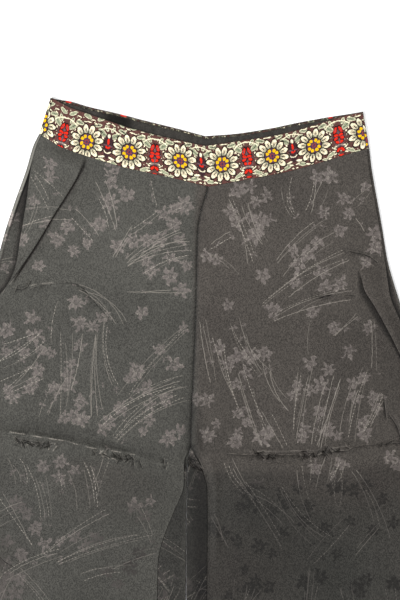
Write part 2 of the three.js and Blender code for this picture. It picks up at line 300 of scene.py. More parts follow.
def row_height(level, x, behind):
    follow = ease(level, WAIST_EASES_OUT, WAIST_TOP)
    rise = behind * np.clip((level - BACK_RISES_FROM) / (WAIST_TOP - BACK_RISES_FROM), 0, 1)
    seam = waist_seam(x)
    return level + follow * (seam - WAIST_TOP) + rise * (waist_seam(x, 1) - seam)


def crossing(levels, side, behind, line):
    """How far out each row meets a line given as distances at each height."""
    out = np.zeros_like(levels)
    for _ in range(CLOSING_IN):
        out = line(row_height(levels, side["sign"] * out, behind))
    return out


def inner_line(side, column):
    low = curve(side["inner"], "y", column, within=True)
    seam = curve(CENTRE_SEAM, "y", "x")
    start = side["inner"]["y"][0]

    def read(y):
        above = 0 if column == "turn" else side["sign"] * seam(y) + SEAM_GAP / 2
        return np.where(y < start, low(y), above)

    return read


levels = row_levels()
print(len(levels), "rows from the waist to the hem")

# %% [markdown]
# ## Walking across the cloth
# A section through a folded panel is like a walk: ahead, a turn over, back a little, a turn again,
# and on. All rows are walked at once, since every row takes the same steps with its own lengths.
# How far a fold is turned goes from 0 to 1, so a fold dies away smoothly into flat cloth.

# %% A walk with bends
BEND_STEPS = 8


class Walk:
    """Points across, and heights, along the middle of the cloth, one column a step."""

    def __init__(self, across, height, heading):
        self.across = [across]
        self.height = [height]
        self.heading = heading

    def ahead(self, length, steps=1):
        for _ in range(steps):
            self.across.append(self.across[-1] + length / steps * np.cos(self.heading))
            self.height.append(self.height[-1] + length / steps * np.sin(self.heading))
        return self

    def bend(self, angle, radius):
        part = angle / BEND_STEPS
        chord = 2 * radius * math.sin(math.pi / 2 / BEND_STEPS)
        self.heading = self.heading + part / 2
        for step in range(BEND_STEPS):
            self.ahead(chord)
            self.heading = self.heading + (part if step < BEND_STEPS - 1 else part / 2)
        return self

    def to(self, across, height, steps, fall=lambda t: t):
        start = (self.across[-1], self.height[-1])
        for t in np.arange(1, steps + 1) / steps:
            self.across.append(start[0] + (across - start[0]) * t)
            self.height.append(start[1] + (height - start[1]) * fall(t))
        return self

    def shift(self, amount):
        self.across = [column + amount for column in self.across]

    def columns(self):
        return np.stack(self.across, 1), np.stack(self.height, 1)


# %% [markdown]
# ## Sections of the front and back panels
# The front panel runs from the centre seam or inner leg over its one big fold to the side seam.
# The back panel starts at that seam, turns down round the outer fold, crosses the table and turns
# up again inside the leg, where the rest of it shows beside the front panel.

# %% Front section
CLOTH_THICKNESS = 0.6
FOLD_SLOPE = 26
SLOPE_SHARE = 0.85
SEAM_ALLOWANCE = 1.2
FRONT_STATIONS = 132
OUTER_STATIONS = 14
SLOPE_STATIONS = 9
# Painted shade under a fold's edge, softly further off, and a painted highlight along its rim: how much, how
# wide
GAP_FADES = (0.5, 1.4)
FOLD_SOFT_SHADE, FOLD_SOFT_REACH = 0.14, 6
FOLD_RIM_LIGHT, FOLD_RIM_WIDTH = 0.22, 1.1


def front_section(side):
    def line(column, within=False):
        return curve(side["fold"], "y", column, within)

    at = crossing(levels, side, 0, line("at"))
    y = row_height(levels, side["sign"] * at, 0)
    turn = line("turn", True)(y)
    inner = crossing(levels, side, 0, inner_line(side, "front"))
    seam = crossing(levels, side, 0, curve(side["outline"], "y", "seam")) - SEAM_GAP / 2
    flat = np.full_like(levels, UPPER)
    edge = Walk(np.zeros_like(levels), flat, np.zeros_like(levels))
    edge.bend(math.pi * turn, CREASE).ahead(line("depth", True)(y), 3)
    edge.bend(-math.pi * turn, CREASE)
    edge.shift(at + turn * WALL / 2 - np.min(edge.across[1 + BEND_STEPS :], axis=0))
    walk = Walk(inner, flat, None).to(edge.across[0], flat, FRONT_STATIONS)
    walk.across += edge.across[1:]
    walk.height += edge.height[1:]
    foot = seam - SEAM_ALLOWANCE
    slope = np.minimum(FOLD_SLOPE, (foot - walk.across[-1]) * SLOPE_SHARE)
    walk.to(foot - slope, walk.height[-1], OUTER_STATIONS)
    walk.to(foot, flat, SLOPE_STATIONS, lambda t: ease(t, 0, 1))
    across, height = walk.to(seam, flat, 1).columns()
    # Painted shade on the lower layer beside the fold's edge, and a painted highlight along the top layer's
    # rim
    under = np.arange(across.shape[1]) <= FRONT_STATIONS + BEND_STEPS
    away = abs(at[:, None] - across)
    gap = line("gap", True)(y)[:, None]
    inside = side["fold_shade"] * (1 - ease(away, GAP_FADES[0] * gap, GAP_FADES[1] * gap))
    inside = inside + FOLD_SOFT_SHADE * np.exp(-away / FOLD_SOFT_REACH)
    rim = -FOLD_RIM_LIGHT * np.exp(-((away / FOLD_RIM_WIDTH) ** 2))
    return across, height, turn[:, None] * np.where(under, inside, rim)


# %% Back section
FLAP_OPENS = 6
BACK_STATIONS = 80
STRIP_STATIONS = 4
RIM_STATIONS = 8
RIM_WIDTH = 5.4
RIM_SHARE = 0.6
# Painted shadow beside the side seam: how dark, how wide
SEAM_SHADOW_DEPTH, SEAM_SHADOW_WIDTH = 0.8, 3.4


def back_section(side):
    def cross(line):
        return crossing(levels, side, 1, line)

    seam = cross(curve(side["outline"], "y", "seam")) + SEAM_GAP / 2
    outer = cross(curve(side["outline"], "y", "outer"))
    front = cross(inner_line(side, "front")) - SEAM_GAP
    reach = cross(inner_line(side, "reach"))
    turn = inner_line(side, "turn")(row_height(levels, side["sign"] * reach, 1))
    flat = np.full_like(levels, UPPER)
    low = np.full_like(levels, LOWER)
    inner = Walk(np.zeros_like(levels), low, np.full_like(levels, math.pi))
    inner.bend(-math.pi * turn, CREASE)
    flap = np.maximum(front - reach - WALL / 2 - CREASE, 1)
    inner.ahead(1 + (flap - 1) * turn**FLAP_OPENS, 5)
    inner.shift(reach + turn * CLOTH_THICKNESS / 2 - np.min(inner.across, axis=0))
    edge = outer - CLOTH_THICKNESS / 2 - CREASE
    rim = np.minimum(RIM_WIDTH, RIM_SHARE * (edge - seam))
    walk = Walk(seam, flat, np.zeros_like(levels)).to(edge - rim, flat, STRIP_STATIONS)
    walk.to(edge, flat, RIM_STATIONS).bend(-math.pi, CREASE).to(inner.across[0], low, BACK_STATIONS)
    walk.across += inner.across[1:]
    walk.height += inner.height[1:]
    across, height = walk.columns()
    on_top = np.arange(across.shape[1]) < STRIP_STATIONS + RIM_STATIONS + BEND_STEPS // 2
    # Painted light of the strip beyond the side seam: painted shade on it, a painted shadow beside the seam,
    # and along the outer fold a painted highlight and a dark line
    y = row_height(levels, side["sign"] * outer, 1)[:, None]
    weak, low_end, high_end = side["rim_below"]
    rim_shade = curve(side["rim_shade"], "in", "shade", within=True)(outer[:, None] - across)
    rim_shade = rim_shade * (weak + (1 - weak) * ease(y, low_end, high_end))
    strip = curve(side["strip_shade"], "y", "shade", within=True)(y)
    seam_shadow = SEAM_SHADOW_DEPTH * np.exp(-(((across - seam[:, None]) / SEAM_SHADOW_WIDTH) ** 2))
    shaded = 1 - (1 - strip) * (1 - seam_shadow) + rim_shade * (1 - strip * (rim_shade > 0))
    return across, height, on_top * shaded


# %% The four panels


class Panel:
    """A grid of points, how far along the cloth each one lies, and how much painted shade it is in (below 0,
    a painted highlight).
    """

    def __init__(self, side, behind, section):
        across, height, self.shade = section(side)
        x = side["sign"] * across
        y = row_height(levels[:, None], x, behind)
        step = np.hypot(np.diff(across, axis=1), np.diff(height, axis=1))
        self.side, self.behind = side, behind
        self.along = np.concatenate([np.zeros((len(levels), 1)), np.cumsum(step, axis=1)], axis=1)
        self.points = np.stack([x, y, height], 2)
        self.sharp = np.zeros_like(height)


panels = {
    "front_left": Panel(LEFT, 0, front_section),
    "front_right": Panel(RIGHT, 0, front_section),
    "back_left": Panel(LEFT, 1, back_section),
    "back_right": Panel(RIGHT, 1, back_section),
}
for name, panel in panels.items():
    print(name, panel.points.shape[0], "x", panel.points.shape[1], "points")

# %% [markdown]
# ## Creases and swells
# Jacquard that was folded away in a drawer keeps sharp storage creases, and lies in slow swells
# between them. A simulation would give creases of its own, so these are listed instead: each is a
# line with a half-width and a height, rough along its length, and crumpled spots are scattered
# over a stretch as many tiny dents. The same height is added to every layer at a place, so folded
# layers never cut each other.

# %% Storage creases: points, half-width, height, roughness
CREASES = [
    # upper left, from the end of the big fold
    ([(-183, 366), (-190, 356), (-198, 347), (-210, 338), (-222, 326)], 1.5, -1.5, 0.1),
    ([(-184, 372), (-194, 362), (-204, 350), (-216, 341)], 1.3, -1.2, 0.1),
    ([(-192, 338), (-186, 339), (-179, 341)], 1.7, -2.2, 0.6),
    ([(-182, 341.5), (-167, 344.8), (-148, 346.8)], 1.5, 1.3, 0.4),
    ([(-180, 338.5), (-166, 341.5), (-148, 343.6)], 1.7, -1, 0.5),
    (
        [(-143, 345.5), (-133, 345.8), (-125, 344.5), (-118, 340), (-110, 328.7), (-98, 318), (-90, 305)],
        1.5, -1.3, 0.3,
    ),
    ([(-140, 342.5), (-127, 341), (-120, 336), (-113, 326)], 2.4, 0.8, 0.3),
    ([(-75, 341.5), (-54, 342.5), (-34, 342)], 1.8, 0.8, 0.5),
    ([(-62, 326), (-48, 335), (-20, 338), (-2, 339)], 2, 0.9, 0.4),
    ([(-62, 322), (-47, 331), (-20, 334.5), (-2, 336)], 2, -0.7, 0.4),
    # upper right
    ([(133, 329), (143, 330), (156, 332)], 1.6, -1.2, 0.6),
    ([(144, 329.5), (149, 330.6), (155, 332.4)], 1.5, -2.6, 0.3),
    ([(129, 332.5), (143, 334.5), (158, 333)], 2.2, 0.8, 0.4),
    ([(170, 331), (183, 331.5)], 1.6, -1.1, 0.5),
    ([(167, 384), (170, 384)], 1.4, -1.8, 0.3),
    ([(176, 379.5), (185, 379), (196, 376.5)], 1.6, -2.4, 0.5),
    ([(193, 377), (199, 374), (206, 368)], 2, -2, 0.5),
    ([(186, 374), (196, 369), (206, 362)], 2, 1, 0.4),
    ([(92, 291), (110, 297), (128, 308), (142, 312)], 2.4, 0.7, 0.4),
    # lower left: a long ridge with a dark hollow above it
    ([(-232, 181), (-214, 181.5), (-200, 181)], 2, 0.8, 0.5),
    ([(-199, 181), (-190, 180.4), (-181, 179.4)], 1.7, 2, 0.5),
    ([(-177, 177.6), (-160, 175.4), (-136, 171), (-126, 168.6)], 1.9, 1.9, 0.7),
    ([(-128, 169), (-108, 164.6), (-82, 161), (-61, 157)], 1.9, 1.7, 0.9),
    ([(-61, 157), (-45, 151), (-30, 146), (-18, 144)], 2.4, 1.2, 0.5),
    ([(-215, 187), (-172, 183), (-136, 178), (-108, 171.5), (-82, 167), (-55, 162)], 3.2, -2.2, 0.3),
    ([(-192, 174), (-172, 171), (-150, 167)], 1.8, -1.4, 0.8),
    # lower right: a sharp hollow
    ([(41, 156), (67, 155.5), (93, 155), (116, 155), (138, 155), (152, 159), (174, 160.5)], 1.7, -1.7, 0.7),
    ([(174, 160.5), (180, 163.5), (194, 166), (221, 168.5), (244, 170)], 1.9, -1.4, 0.5),
    ([(60, 160), (100, 160), (140, 161), (176, 166.5)], 2.2, 1, 0.5),
    ([(50, 150), (93, 149.5), (140, 150), (176, 155)], 3, 0.9, 0.4),
    ([(213.5, 218), (214.5, 207), (216.5, 195)], 1.4, -2.3, 0.3),
    ([(219, 200), (224, 194), (229, 186), (231.5, 176), (232, 164)], 1.6, -2.8, 0.3),
    ([(225, 203), (231, 196), (236, 184)], 2.4, 1, 0.3),
    # about the crotch
    ([(1, 148), (6, 145), (13, 140)], 1.5, -2.4, 0.2),
    ([(-212, 45), (-204, 38), (-194, 33)], 2, -2.4, 0.2),
    ([(4, 139), (13, 135)], 2, 0.8, 0.2),
    ([(22, 160), (27, 130), (28, 100), (28, 37)], 4.5, 1.5, 0.2),
    ([(10, 190), (14, 170), (16, 155)], 3, -0.9, 0.3),
    ([(-12, 190), (-6, 172), (-3, 160)], 3, 0.8, 0.3),
    # long soft folds down the lower legs
    ([(-235, 20), (-262, -160), (-285, -360), (-300, HEM)], 16, 3.2, 0.1),
    ([(-150, 10), (-165, -170), (-180, -380), (-190, HEM)], 20, 2.6, 0.1),
    ([(-80, -40), (-85, -260), (-90, HEM)], 17, 3, 0.1),
    ([(-205, -60), (-225, -260), (-240, HEM)], 12, -1.4, 0.1),
    ([(95, 5), (105, -200), (112, HEM)], 19, 2.8, 0.1),
    ([(170, -15), (190, -220), (215, HEM)], 16, 3.2, 0.1),
    ([(250, 30), (275, -150), (300, HEM)], 14, 2.4, 0.1),
    ([(60, -120), (64, -330), (62, HEM)], 12, 2, 0.1),
    # storage creases across the lower legs, as far apart as the ones above
    ([(-285, -22), (-200, -19), (-110, -24), (-50, -20)], 2.4, 1.3, 0.4),
    ([(-300, -210), (-210, -214), (-110, -208), (-40, -213)], 2.6, 1.2, 0.4),
    ([(-330, -395), (-220, -398), (-110, -393), (-40, -397)], 2.6, -1, 0.4),
    ([(28, -24), (120, -20), (210, -25), (285, -21)], 2.4, -1.2, 0.4),
    ([(26, -208), (130, -212), (220, -207), (300, -212)], 2.6, 1.2, 0.4),
    ([(26, -396), (140, -392), (230, -398), (330, -394)], 2.6, 1.1, 0.4),
]

# %% Crumpled spots: from, to, how many dents, how deep
CRUMPLES = [
    ((-193, 171), (-148, 165), 22, 2.4),
    ((-110, 160), (-77, 154), 18, 2.4),
    ((-74, 152), (-54, 147), 16, 2),
    ((-30, 146), (-24, 141), 6, 1.5),
    ((67, 156), (94, 155), 20, 2.6),
    ((116, 157), (134, 155), 10, 2.4),
    ((130, 156), (174, 163), 26, 2.2),
    ((205, 166), (226, 170), 8, 1.6),
    ((-192, 339), (-176, 341), 8, 1.8),
    ((-176, 343), (-150, 345), 8, 0.9),
    ((-72, 342), (-30, 342), 8, 0.7),
    ((-280, -22), (-60, -22), 30, 0.9),
    ((30, -22), (280, -22), 30, 0.9),
]

# %% Painted soft shadows: points, half-width, depth
SHADOWS = [
    ([(-225, 193), (-195, 190), (-172, 186), (-136, 181), (-108, 174), (-82, 169), (-45, 161)], 9, 0.2),
    ([(-100, 167), (-75, 163), (-45, 156), (-20, 148)], 5, 0.14),
    ([(4, 225), (6, 195), (9, 175), (10, 160)], 7, 0.25),
    ([(0, 210), (0, 185), (-1, 160)], 4, 0.2),
    ([(0, 153), (6, 149), (13, 143)], 5, 0.5),
    ([(2, 170), (4, 160), (8, 150)], 6, 0.35),
    ([(40, 160), (90, 160), (140, 161), (180, 167)], 6, 0.12),
    ([(60, 149), (100, 150), (150, 153)], 6, 0.12),
    ([(165, 382), (185, 379), (205, 371)], 5, 0.2),
    ([(133, 329), (158, 332)], 4, 0.2),
    ([(142, 328.6), (149, 330.4), (157, 332.2)], 1.5, 0.6),
    ([(-186, 334), (-150, 338), (-118, 336), (-100, 316)], 5, 0.12),
    ([(-30, 100), (-60, 130), (-140, 150)], 30, 0.06),
    ([(235, 245), (242, 232), (246, 215)], 9, 0.3),
    ([(60, 110), (80, 60), (90, 10)], 30, 0.1),
]

# %% Swells: middle, half-widths, turn in degrees, height
SWELLS = [
    ((-150, 440), (24, 60), -24, 1.3),
    ((-85, 400), (55, 48), 0, 1.6),
    ((-25, 395), (26, 60), 8, 1.2),
    ((-95, 250), (70, 62), 0, 2.1),
    ((-30, 240), (28, 90), 6, 1.6),
    ((-180, 250), (44, 56), 14, 1.9),
    ((-140, 90), (80, 62), 6, 2.3),
    ((-62, 110), (34, 60), -14, 1.9),
    ((60, 400), (44, 56), 0, 1.5),
    ((140, 400), (48, 60), 0, 1.7),
    ((70, 250), (52, 70), 4, 2.1),
    ((160, 250), (58, 62), 0, 2),
    ((100, 80), (64, 66), 0, 2.3),
    ((190, 90), (50, 60), 8, 2),
    ((-120, 168), (100, 17), -6, 1.7),
    ((-60, 152), (30, 14), -12, 0.8),
    ((120, 157), (96, 15), 3, 1.8),
    ((-160, 340), (40, 16), 6, 0.9),
    ((-160, -130), (110, 90), 6, 1.6),
    ((-150, -330), (120, 90), 6, 1.6),
    ((150, -120), (110, 90), -6, 1.6),
    ((160, -320), (120, 90), -6, 1.6),
]

# %% Height of the creased cloth
DEEPEST = -1
EDGE_FADE = 12
DENT_LENGTHS = (2, 5.5)
DENT_HALF_WIDTHS = (1, 1.5)
CRUMPLE_SPREAD = 2
SHARP_WIDTH = 1.5


def crease_height(x, y, line, width, height, rough, seed):
    """A ridge or hollow along a line of points, fading out at both ends."""
    nearest = np.full(x.shape, np.inf)
    passed = np.zeros(x.shape)
    travelled = 0
    for (ax, ay), (bx, by) in zip(line[:-1], line[1:]):
        length = math.hypot(bx - ax, by - ay)
        t = np.clip(((x - ax) * (bx - ax) + (y - ay) * (by - ay)) / length**2, 0, 1)
        distance = np.hypot(x - ax - t * (bx - ax), y - ay - t * (by - ay))
        closer = distance < nearest
        nearest = np.where(closer, distance, nearest)
        passed = np.where(closer, travelled + t * length, passed)
        travelled += length
    phase = np.random.default_rng(seed).uniform(0, 2 * math.pi, 3)
    wave = sum(np.sin(passed / pitch + p) for pitch, p in zip((1.3, 2.9, 7.1), phase)) / 3
    fade = np.clip(4 * passed / travelled, 0, 1) * np.clip(4 * (1 - passed / travelled), 0, 1)
    return height * (1 + rough * wave) * np.sqrt(fade) * np.exp(-((nearest / width) ** 2))


def dents(start, end, count, depth, seed):
    """Many tiny creases along a stretch, each at its own angle."""
    rng = np.random.default_rng(seed)
    for _ in range(count):
        t = rng.uniform()
        middle = np.array(start) + t * (np.array(end) - start) + rng.normal(0, CRUMPLE_SPREAD, 2) * (0.4, 1)
        angle = math.atan2(end[1] - start[1], end[0] - start[0]) + rng.choice([-1, 1]) * rng.uniform(0.1, 1.3)
        half = rng.uniform(*DENT_LENGTHS) * np.array([math.cos(angle), math.sin(angle)])
        height = depth * rng.choice([-1.0, -0.6, 0.6])
        yield [tuple(middle - half), tuple(middle + half)], rng.uniform(*DENT_HALF_WIDTHS), height


def swell_height(x, y, middle, widths, turn, height):
    c, s = math.cos(math.radians(turn)), math.sin(math.radians(turn))
    dx, dy = x - middle[0], y - middle[1]
    return height * np.exp(-(((c * dx + s * dy) / widths[0]) ** 2) - ((c * dy - s * dx) / widths[1]) ** 2)


def near(x, y, line, reach):
    """Whether each point lies in the box round a line, grown by a reach."""
    low, high = np.min(line, axis=0) - reach, np.max(line, axis=0) + reach
    return (x > low[0]) & (x < high[0]) & (y > low[1]) & (y < high[1])


def creased(x, y):
    """Height of the swells and creases, and the height of the narrow creases alone, up in a sharp ridge,
    down in a sharp hollow, which later sets painted shade in hollows and a painted highlight on ridges."""
    height_of_all = sum(swell_height(x, y, *swell) for swell in SWELLS)
    sharp = np.zeros(x.shape)
    creases = [(*crease, seed) for seed, crease in enumerate(CREASES)]
    for seed, crumple in enumerate(CRUMPLES):
        creases += [(*dent, 0.3, seed) for dent in dents(*crumple, 100 + seed)]
    for line, width, height, rough, seed in creases:
        here = near(x, y, line, 4 * width)
        if here.any():
            added = crease_height(x[here], y[here], line, width, height, rough, seed)
            height_of_all[here] += added
            sharp[here] += added * min(1, (SHARP_WIDTH / width) ** 2)
    return height_of_all, sharp


# %% Lay the creases into the panels
SEAM_DIP = 0.9
SEAM_DIP_WIDTH = 1.8
PUCKER = 0.3
HEM_DEPTH = 20
HEM_STEP = 0.35


def edge_share(along):
    """How freely the cloth lifts: not at all at its seams."""
    inner = ease(along, 0, EDGE_FADE)
    outer = ease(along[:, -1:] - along, 0, EDGE_FADE)
    top = ease(levels[0] - levels, 0, EDGE_FADE)[:, None]
    return inner * outer * top


def hem_fold(y):
    """The turned hem is a double layer, with a groove where its stitches pull it down."""
    return HEM_STEP * (1 - ease(y, HEM + HEM_DEPTH - 1, HEM + HEM_DEPTH + 2))


def shape_front(panel):
    """Raises and dents a front panel, and pulls its centre seam down."""
    x, y, along = panel.points[..., 0], panel.points[..., 1], panel.along
    lift, sharp = creased(x, y)
    share = edge_share(along)
    panel.sharp = sharp * share
    joined = ease(y, *CROTCH)
    wave = np.sin(y / 2.1 + 2 * np.sin(y / 9.7)) * np.exp(-along / 7) * ease(along, 0, 3)
    lift = lift * share + joined * (PUCKER * wave - SEAM_DIP * np.exp(-((along / SEAM_DIP_WIDTH) ** 2)))
    panel.points[..., 2] += np.maximum(lift, DEEPEST) + hem_fold(y)


def shape_back(panel):
    """Only what stands clear of the table swells: the outer fold and the strip inside the leg."""
    y, z = panel.points[..., 1], panel.points[..., 2]
    wave = np.sin(y / 17) + 0.6 * np.sin(y / 7.3 + 1)
    panel.points[..., 2] += ease(z, LOWER + CREASE, UPPER) * (0.25 * wave + 0.1)


for name, panel in panels.items():
    (shape_back if panel.behind else shape_front)(panel)
    z = panel.points[..., 2]
    print(name, "heights", z.min().round(2), "to", z.max().round(2), "mm")

# %% [markdown]
# ## Where the woven flowers lie
# A jacquard is woven flat, so its sprays follow the cloth round every fold. Their places are
# therefore kept in the cloth's own measure: along the weft from the inner edge, and up the warp.
# On the upper fronts the sprays are listed one by one; the rest of the cloth is strewn with sprays
# of the same kinds by a seeded draw, as a loom would repeat them.

# %% Blossoms on the fronts: x, y, how many, how far they scatter
BLOSSOMS = [
    (-154, 470, 2, 7), (-174, 437, 1, 0), (-198, 395, 1, 0), (-167, 365, 1, 0), (-145, 404, 3, 12),
    (-121, 385, 2, 7), (-99, 409, 1, 0), (-81, 444, 3, 11), (-84, 473, 2, 9), (-79, 387, 1, 0),
    (-62, 391, 1, 0), (-48, 393, 1, 0), (-33, 393, 1, 0), (-29, 422, 1, 0), (-11, 429, 2, 7),
    (-15, 402, 2, 8), (-46, 365, 2, 7), (-15, 363, 3, 12), (-9, 338, 1, 0), (-53, 314, 1, 0),
    (-125, 325, 1, 0), (-174, 308, 1, 0), (-121, 301, 1, 0), (-103, 301, 2, 7), (-8, 296, 1, 0),
    (-33, 270, 1, 0), (-202, 295, 1, 0), (-167, 279, 2, 7), (-202, 268, 1, 0), (-121, 277, 1, 0),
    (-62, 246, 2, 6), (-18, 255, 1, 0), (-183, 268, 1, 0), (-152, 268, 1, 0), (-169, 244, 2, 7),
    (-132, 250, 2, 6), (-46, 220, 2, 8), (-77, 207, 1, 0), (-147, 230, 1, 0), (-134, 232, 1, 0),
    (-121, 215, 1, 0), (-176, 228, 1, 0), (-198, 224, 2, 6), (-139, 196, 1, 0), (-123, 197, 2, 5),
    (-92, 189, 2, 5), (-48, 189, 2, 7), (-17, 178, 2, 8), (-26, 217, 1, 0),
    (12, 217, 2, 7), (24, 184, 2, 8), (53, 202, 1, 0), (51, 176, 2, 6), (62, 191, 1, 0),
    (83, 178, 2, 5), (51, 235, 1, 0), (62, 246, 1, 0), (33, 275, 1, 0), (59, 264, 2, 6),
    (42, 257, 1, 0), (81, 268, 1, 0), (132, 257, 1, 0), (152, 250, 1, 0), (116, 226, 2, 5),
    (138, 231, 2, 7), (158, 297, 1, 0), (174, 270, 1, 0), (196, 297, 1, 0), (180, 228, 2, 7),
    (191, 242, 1, 0), (204, 213, 2, 6), (125, 180, 2, 5), (158, 180, 2, 6), (191, 186, 2, 7),
    (143, 204, 1, 0), (224, 149, 2, 6), (42, 321, 1, 0), (92, 316, 1, 0), (136, 312, 1, 0),
    (59, 450, 2, 7), (84, 442, 1, 0), (73, 435, 1, 0), (48, 417, 2, 6), (66, 418, 1, 0),
    (75, 407, 2, 6), (86, 415, 1, 0), (72, 398, 1, 0), (24, 373, 2, 7), (81, 354, 1, 0),
    (147, 462, 2, 7), (194, 451, 1, 0), (169, 437, 1, 0), (176, 422, 1, 0), (147, 422, 1, 0),
    (165, 402, 1, 0), (141, 391, 1, 0), (121, 376, 3, 9), (116, 347, 1, 0), (147, 349, 2, 8),
    (165, 345, 1, 0), (203, 400, 1, 0), (194, 367, 1, 0), (205, 384, 1, 0),
    (-138, 140, 3, 10), (-161, 143, 1, 0), (-51, 98, 3, 10), (-202, 61, 1, 0), (-161, 57, 1, 0),
    (-143, 61, 1, 0), (-121, 61, 2, 7), (-103, 62, 1, 0), (-169, 77, 1, 0), (62, 105, 3, 9),
    (103, 107, 2, 6), (92, 95, 1, 0), (163, 120, 2, 6), (213, 107, 1, 0), (176, 85, 1, 0),
    (103, 70, 1, 0), (161, 48, 1, 0), (202, 74, 1, 0), (30, 74, 2, 6), (139, 143, 1, 0),
    (166, 146, 1, 0), (-84, 20, 2, 8), (80, 14, 2, 8), (190, 12, 2, 8), (-190, 12, 2, 8),
    (-185, 96, 2, 8), (-226, 130, 2, 8),
    (-232, 84, 1, 0), (-62, 40, 2, 8), (-225, 40, 2, 8),
    (74, 122, 1, 0), (128, 92, 2, 9), (84, 52, 2, 8), (118, 120, 1, 0), (148, 76, 1, 0),
    (188, 120, 2, 8), (232, 84, 2, 8), (52, 60, 1, 0), (238, 128, 1, 0), (60, 30, 1, 0),
]

# %% Stems on the fronts: from, to, how many, spread at both ends, bow
STEMS = [
    (-99, 459, -81, 404, 4, 12, 8, 2), (-132, 422, -103, 393, 2, 8, 8, 1),
    (-187, 415, -132, 422, 3, 20, 10, 2), (-176, 470, -145, 432, 3, 12, 16, 2),
    (-169, 437, -187, 393, 2, 6, 6, 1), (-62, 407, -81, 371, 3, 8, 6, 1),
    (-29, 426, -66, 400, 2, 5, 4, 2), (0, 437, -26, 422, 2, 4, 4, 1),
    (-70, 367, -9, 404, 4, 6, 14, 4), (-70, 367, 2, 385, 3, 6, 10, 4),
    (-51, 352, 0, 374, 3, 8, 8, 4), (-70, 334, -4, 338, 2, 4, 4, 3),
    (-44, 459, -38, 429, 1, 0, 0, 1), (-125, 341, -73, 297, 4, 10, 6, 8),
    (-150, 327, -154, 275, 1, 0, 0, -4), (-132, 290, -136, 198, 4, 16, 14, 2),
    (-103, 290, -103, 198, 4, 10, 8, -3), (-92, 312, -82, 231, 3, 8, 6, -8),
    (-209, 253, -161, 286, 6, 28, 24, -2), (-209, 224, -165, 250, 4, 16, 14, 0),
    (-99, 191, -4, 239, 5, 12, 16, 6), (-84, 173, -4, 224, 6, 8, 22, 7),
    (-77, 217, -4, 297, 4, 10, 8, 3), (-161, 195, -139, 242, 3, 8, 10, 1),
    (15, 305, 26, 235, 3, 8, 6, -2), (48, 305, 81, 246, 5, 16, 8, -4),
    (81, 261, 110, 202, 3, 5, 5, -6), (55, 253, 81, 165, 5, 12, 14, -3),
    (26, 290, 55, 206, 4, 8, 6, -3), (81, 209, 106, 165, 2, 6, 8, 0),
    (108, 462, 115, 418, 3, 8, 5, -5), (138, 466, 130, 422, 2, 6, 5, 1),
    (152, 459, 139, 429, 2, 5, 5, 1), (44, 437, 70, 367, 3, 6, 10, 2),
    (59, 433, 84, 389, 3, 8, 6, -2), (95, 367, 150, 418, 3, 5, 10, 3),
    (103, 352, 161, 400, 3, 8, 8, 4), (77, 319, 172, 378, 4, 8, 12, 6),
    (92, 305, 180, 338, 4, 10, 14, 5), (18, 378, 55, 352, 2, 4, 4, 3),
    (18, 385, 48, 400, 2, 4, 4, 1), (116, 169, 130, 253, 5, 8, 14, 2),
    (138, 165, 161, 242, 6, 12, 14, 2), (172, 173, 192, 253, 5, 16, 10, 3),
    (191, 180, 213, 224, 3, 6, 6, 1), (198, 305, 202, 246, 2, 5, 5, 1),
    (132, 305, 130, 257, 1, 0, 0, 1), (187, 312, 158, 286, 2, 4, 4, 1),
    (210, 455, 180, 429, 2, 5, 5, 1), (180, 418, 198, 396, 1, 0, 0, 1),
    (-114, 151, -103, 103, 3, 10, 6, 1), (-88, 162, -106, 110, 2, 12, 8, 2),
    (-172, 147, -158, 85, 4, 14, 10, 2), (-143, 136, -136, 118, 2, 3, 3, 0),
    (-209, 114, -176, 55, 2, 6, 6, 2), (-161, 44, -88, 92, 3, 6, 10, 3),
    (-147, 37, -40, 70, 4, 5, 12, 5), (-88, 33, -38, 50, 2, 4, 4, 2),
    (40, 151, 70, 107, 4, 8, 8, -2), (55, 129, 103, 52, 3, 8, 10, 1),
    (148, 156, 140, 118, 4, 26, 16, 1), (166, 156, 158, 126, 3, 10, 8, 1),
    (-118, 140, -112, 96, 3, 24, 14, 2), (-196, 156, -186, 120, 3, 12, 8, 2),
    (121, 147, 138, 85, 2, 6, 8, -4), (158, 143, 161, 96, 3, 8, 6, 1),
    (132, 37, 172, 85, 2, 5, 10, 1), (176, 44, 220, 88, 2, 5, 5, 1),
    (24, 90, 40, 52, 3, 5, 5, 1), (60, 118, 112, 78, 3, 6, 16, 4), (98, 120, 150, 60, 4, 10, 22, -5),
    (180, 140, 215, 60, 3, 8, 14, 4), (-240, 60, -180, 100, 3, 10, 12, 5), (-120, 20, -60, 34, 3, 8, 8, 4),
    (-205, 20, -140, 48, 3, 9, 9, 5), (-60, 100, -40, 60, 2, 5, 6, 2), (-190, 30, -150, -20, 3, 8, 8, 2),
]

# %% Draw out the sprays
BLOSSOM_RADII = (8, 12)
BUD_RADII = (3, 5.5)
BUD_KINDS = 0.25
HAND_SET_BELOW = 25
CLOTH_PER_SPRAY = 3900
SPRAY_LEAN = 0.6
SPRAY_LENGTHS = (45, 105)
SPRAY_SPREADS = (8, 24)
STEM_SLIDE = 0.3
STEM_SHIFT, SPREAD_SHIFT, BOW_SHIFT = 1.6, 0.16, 1.3
ROUND_TURN = 2 * math.pi


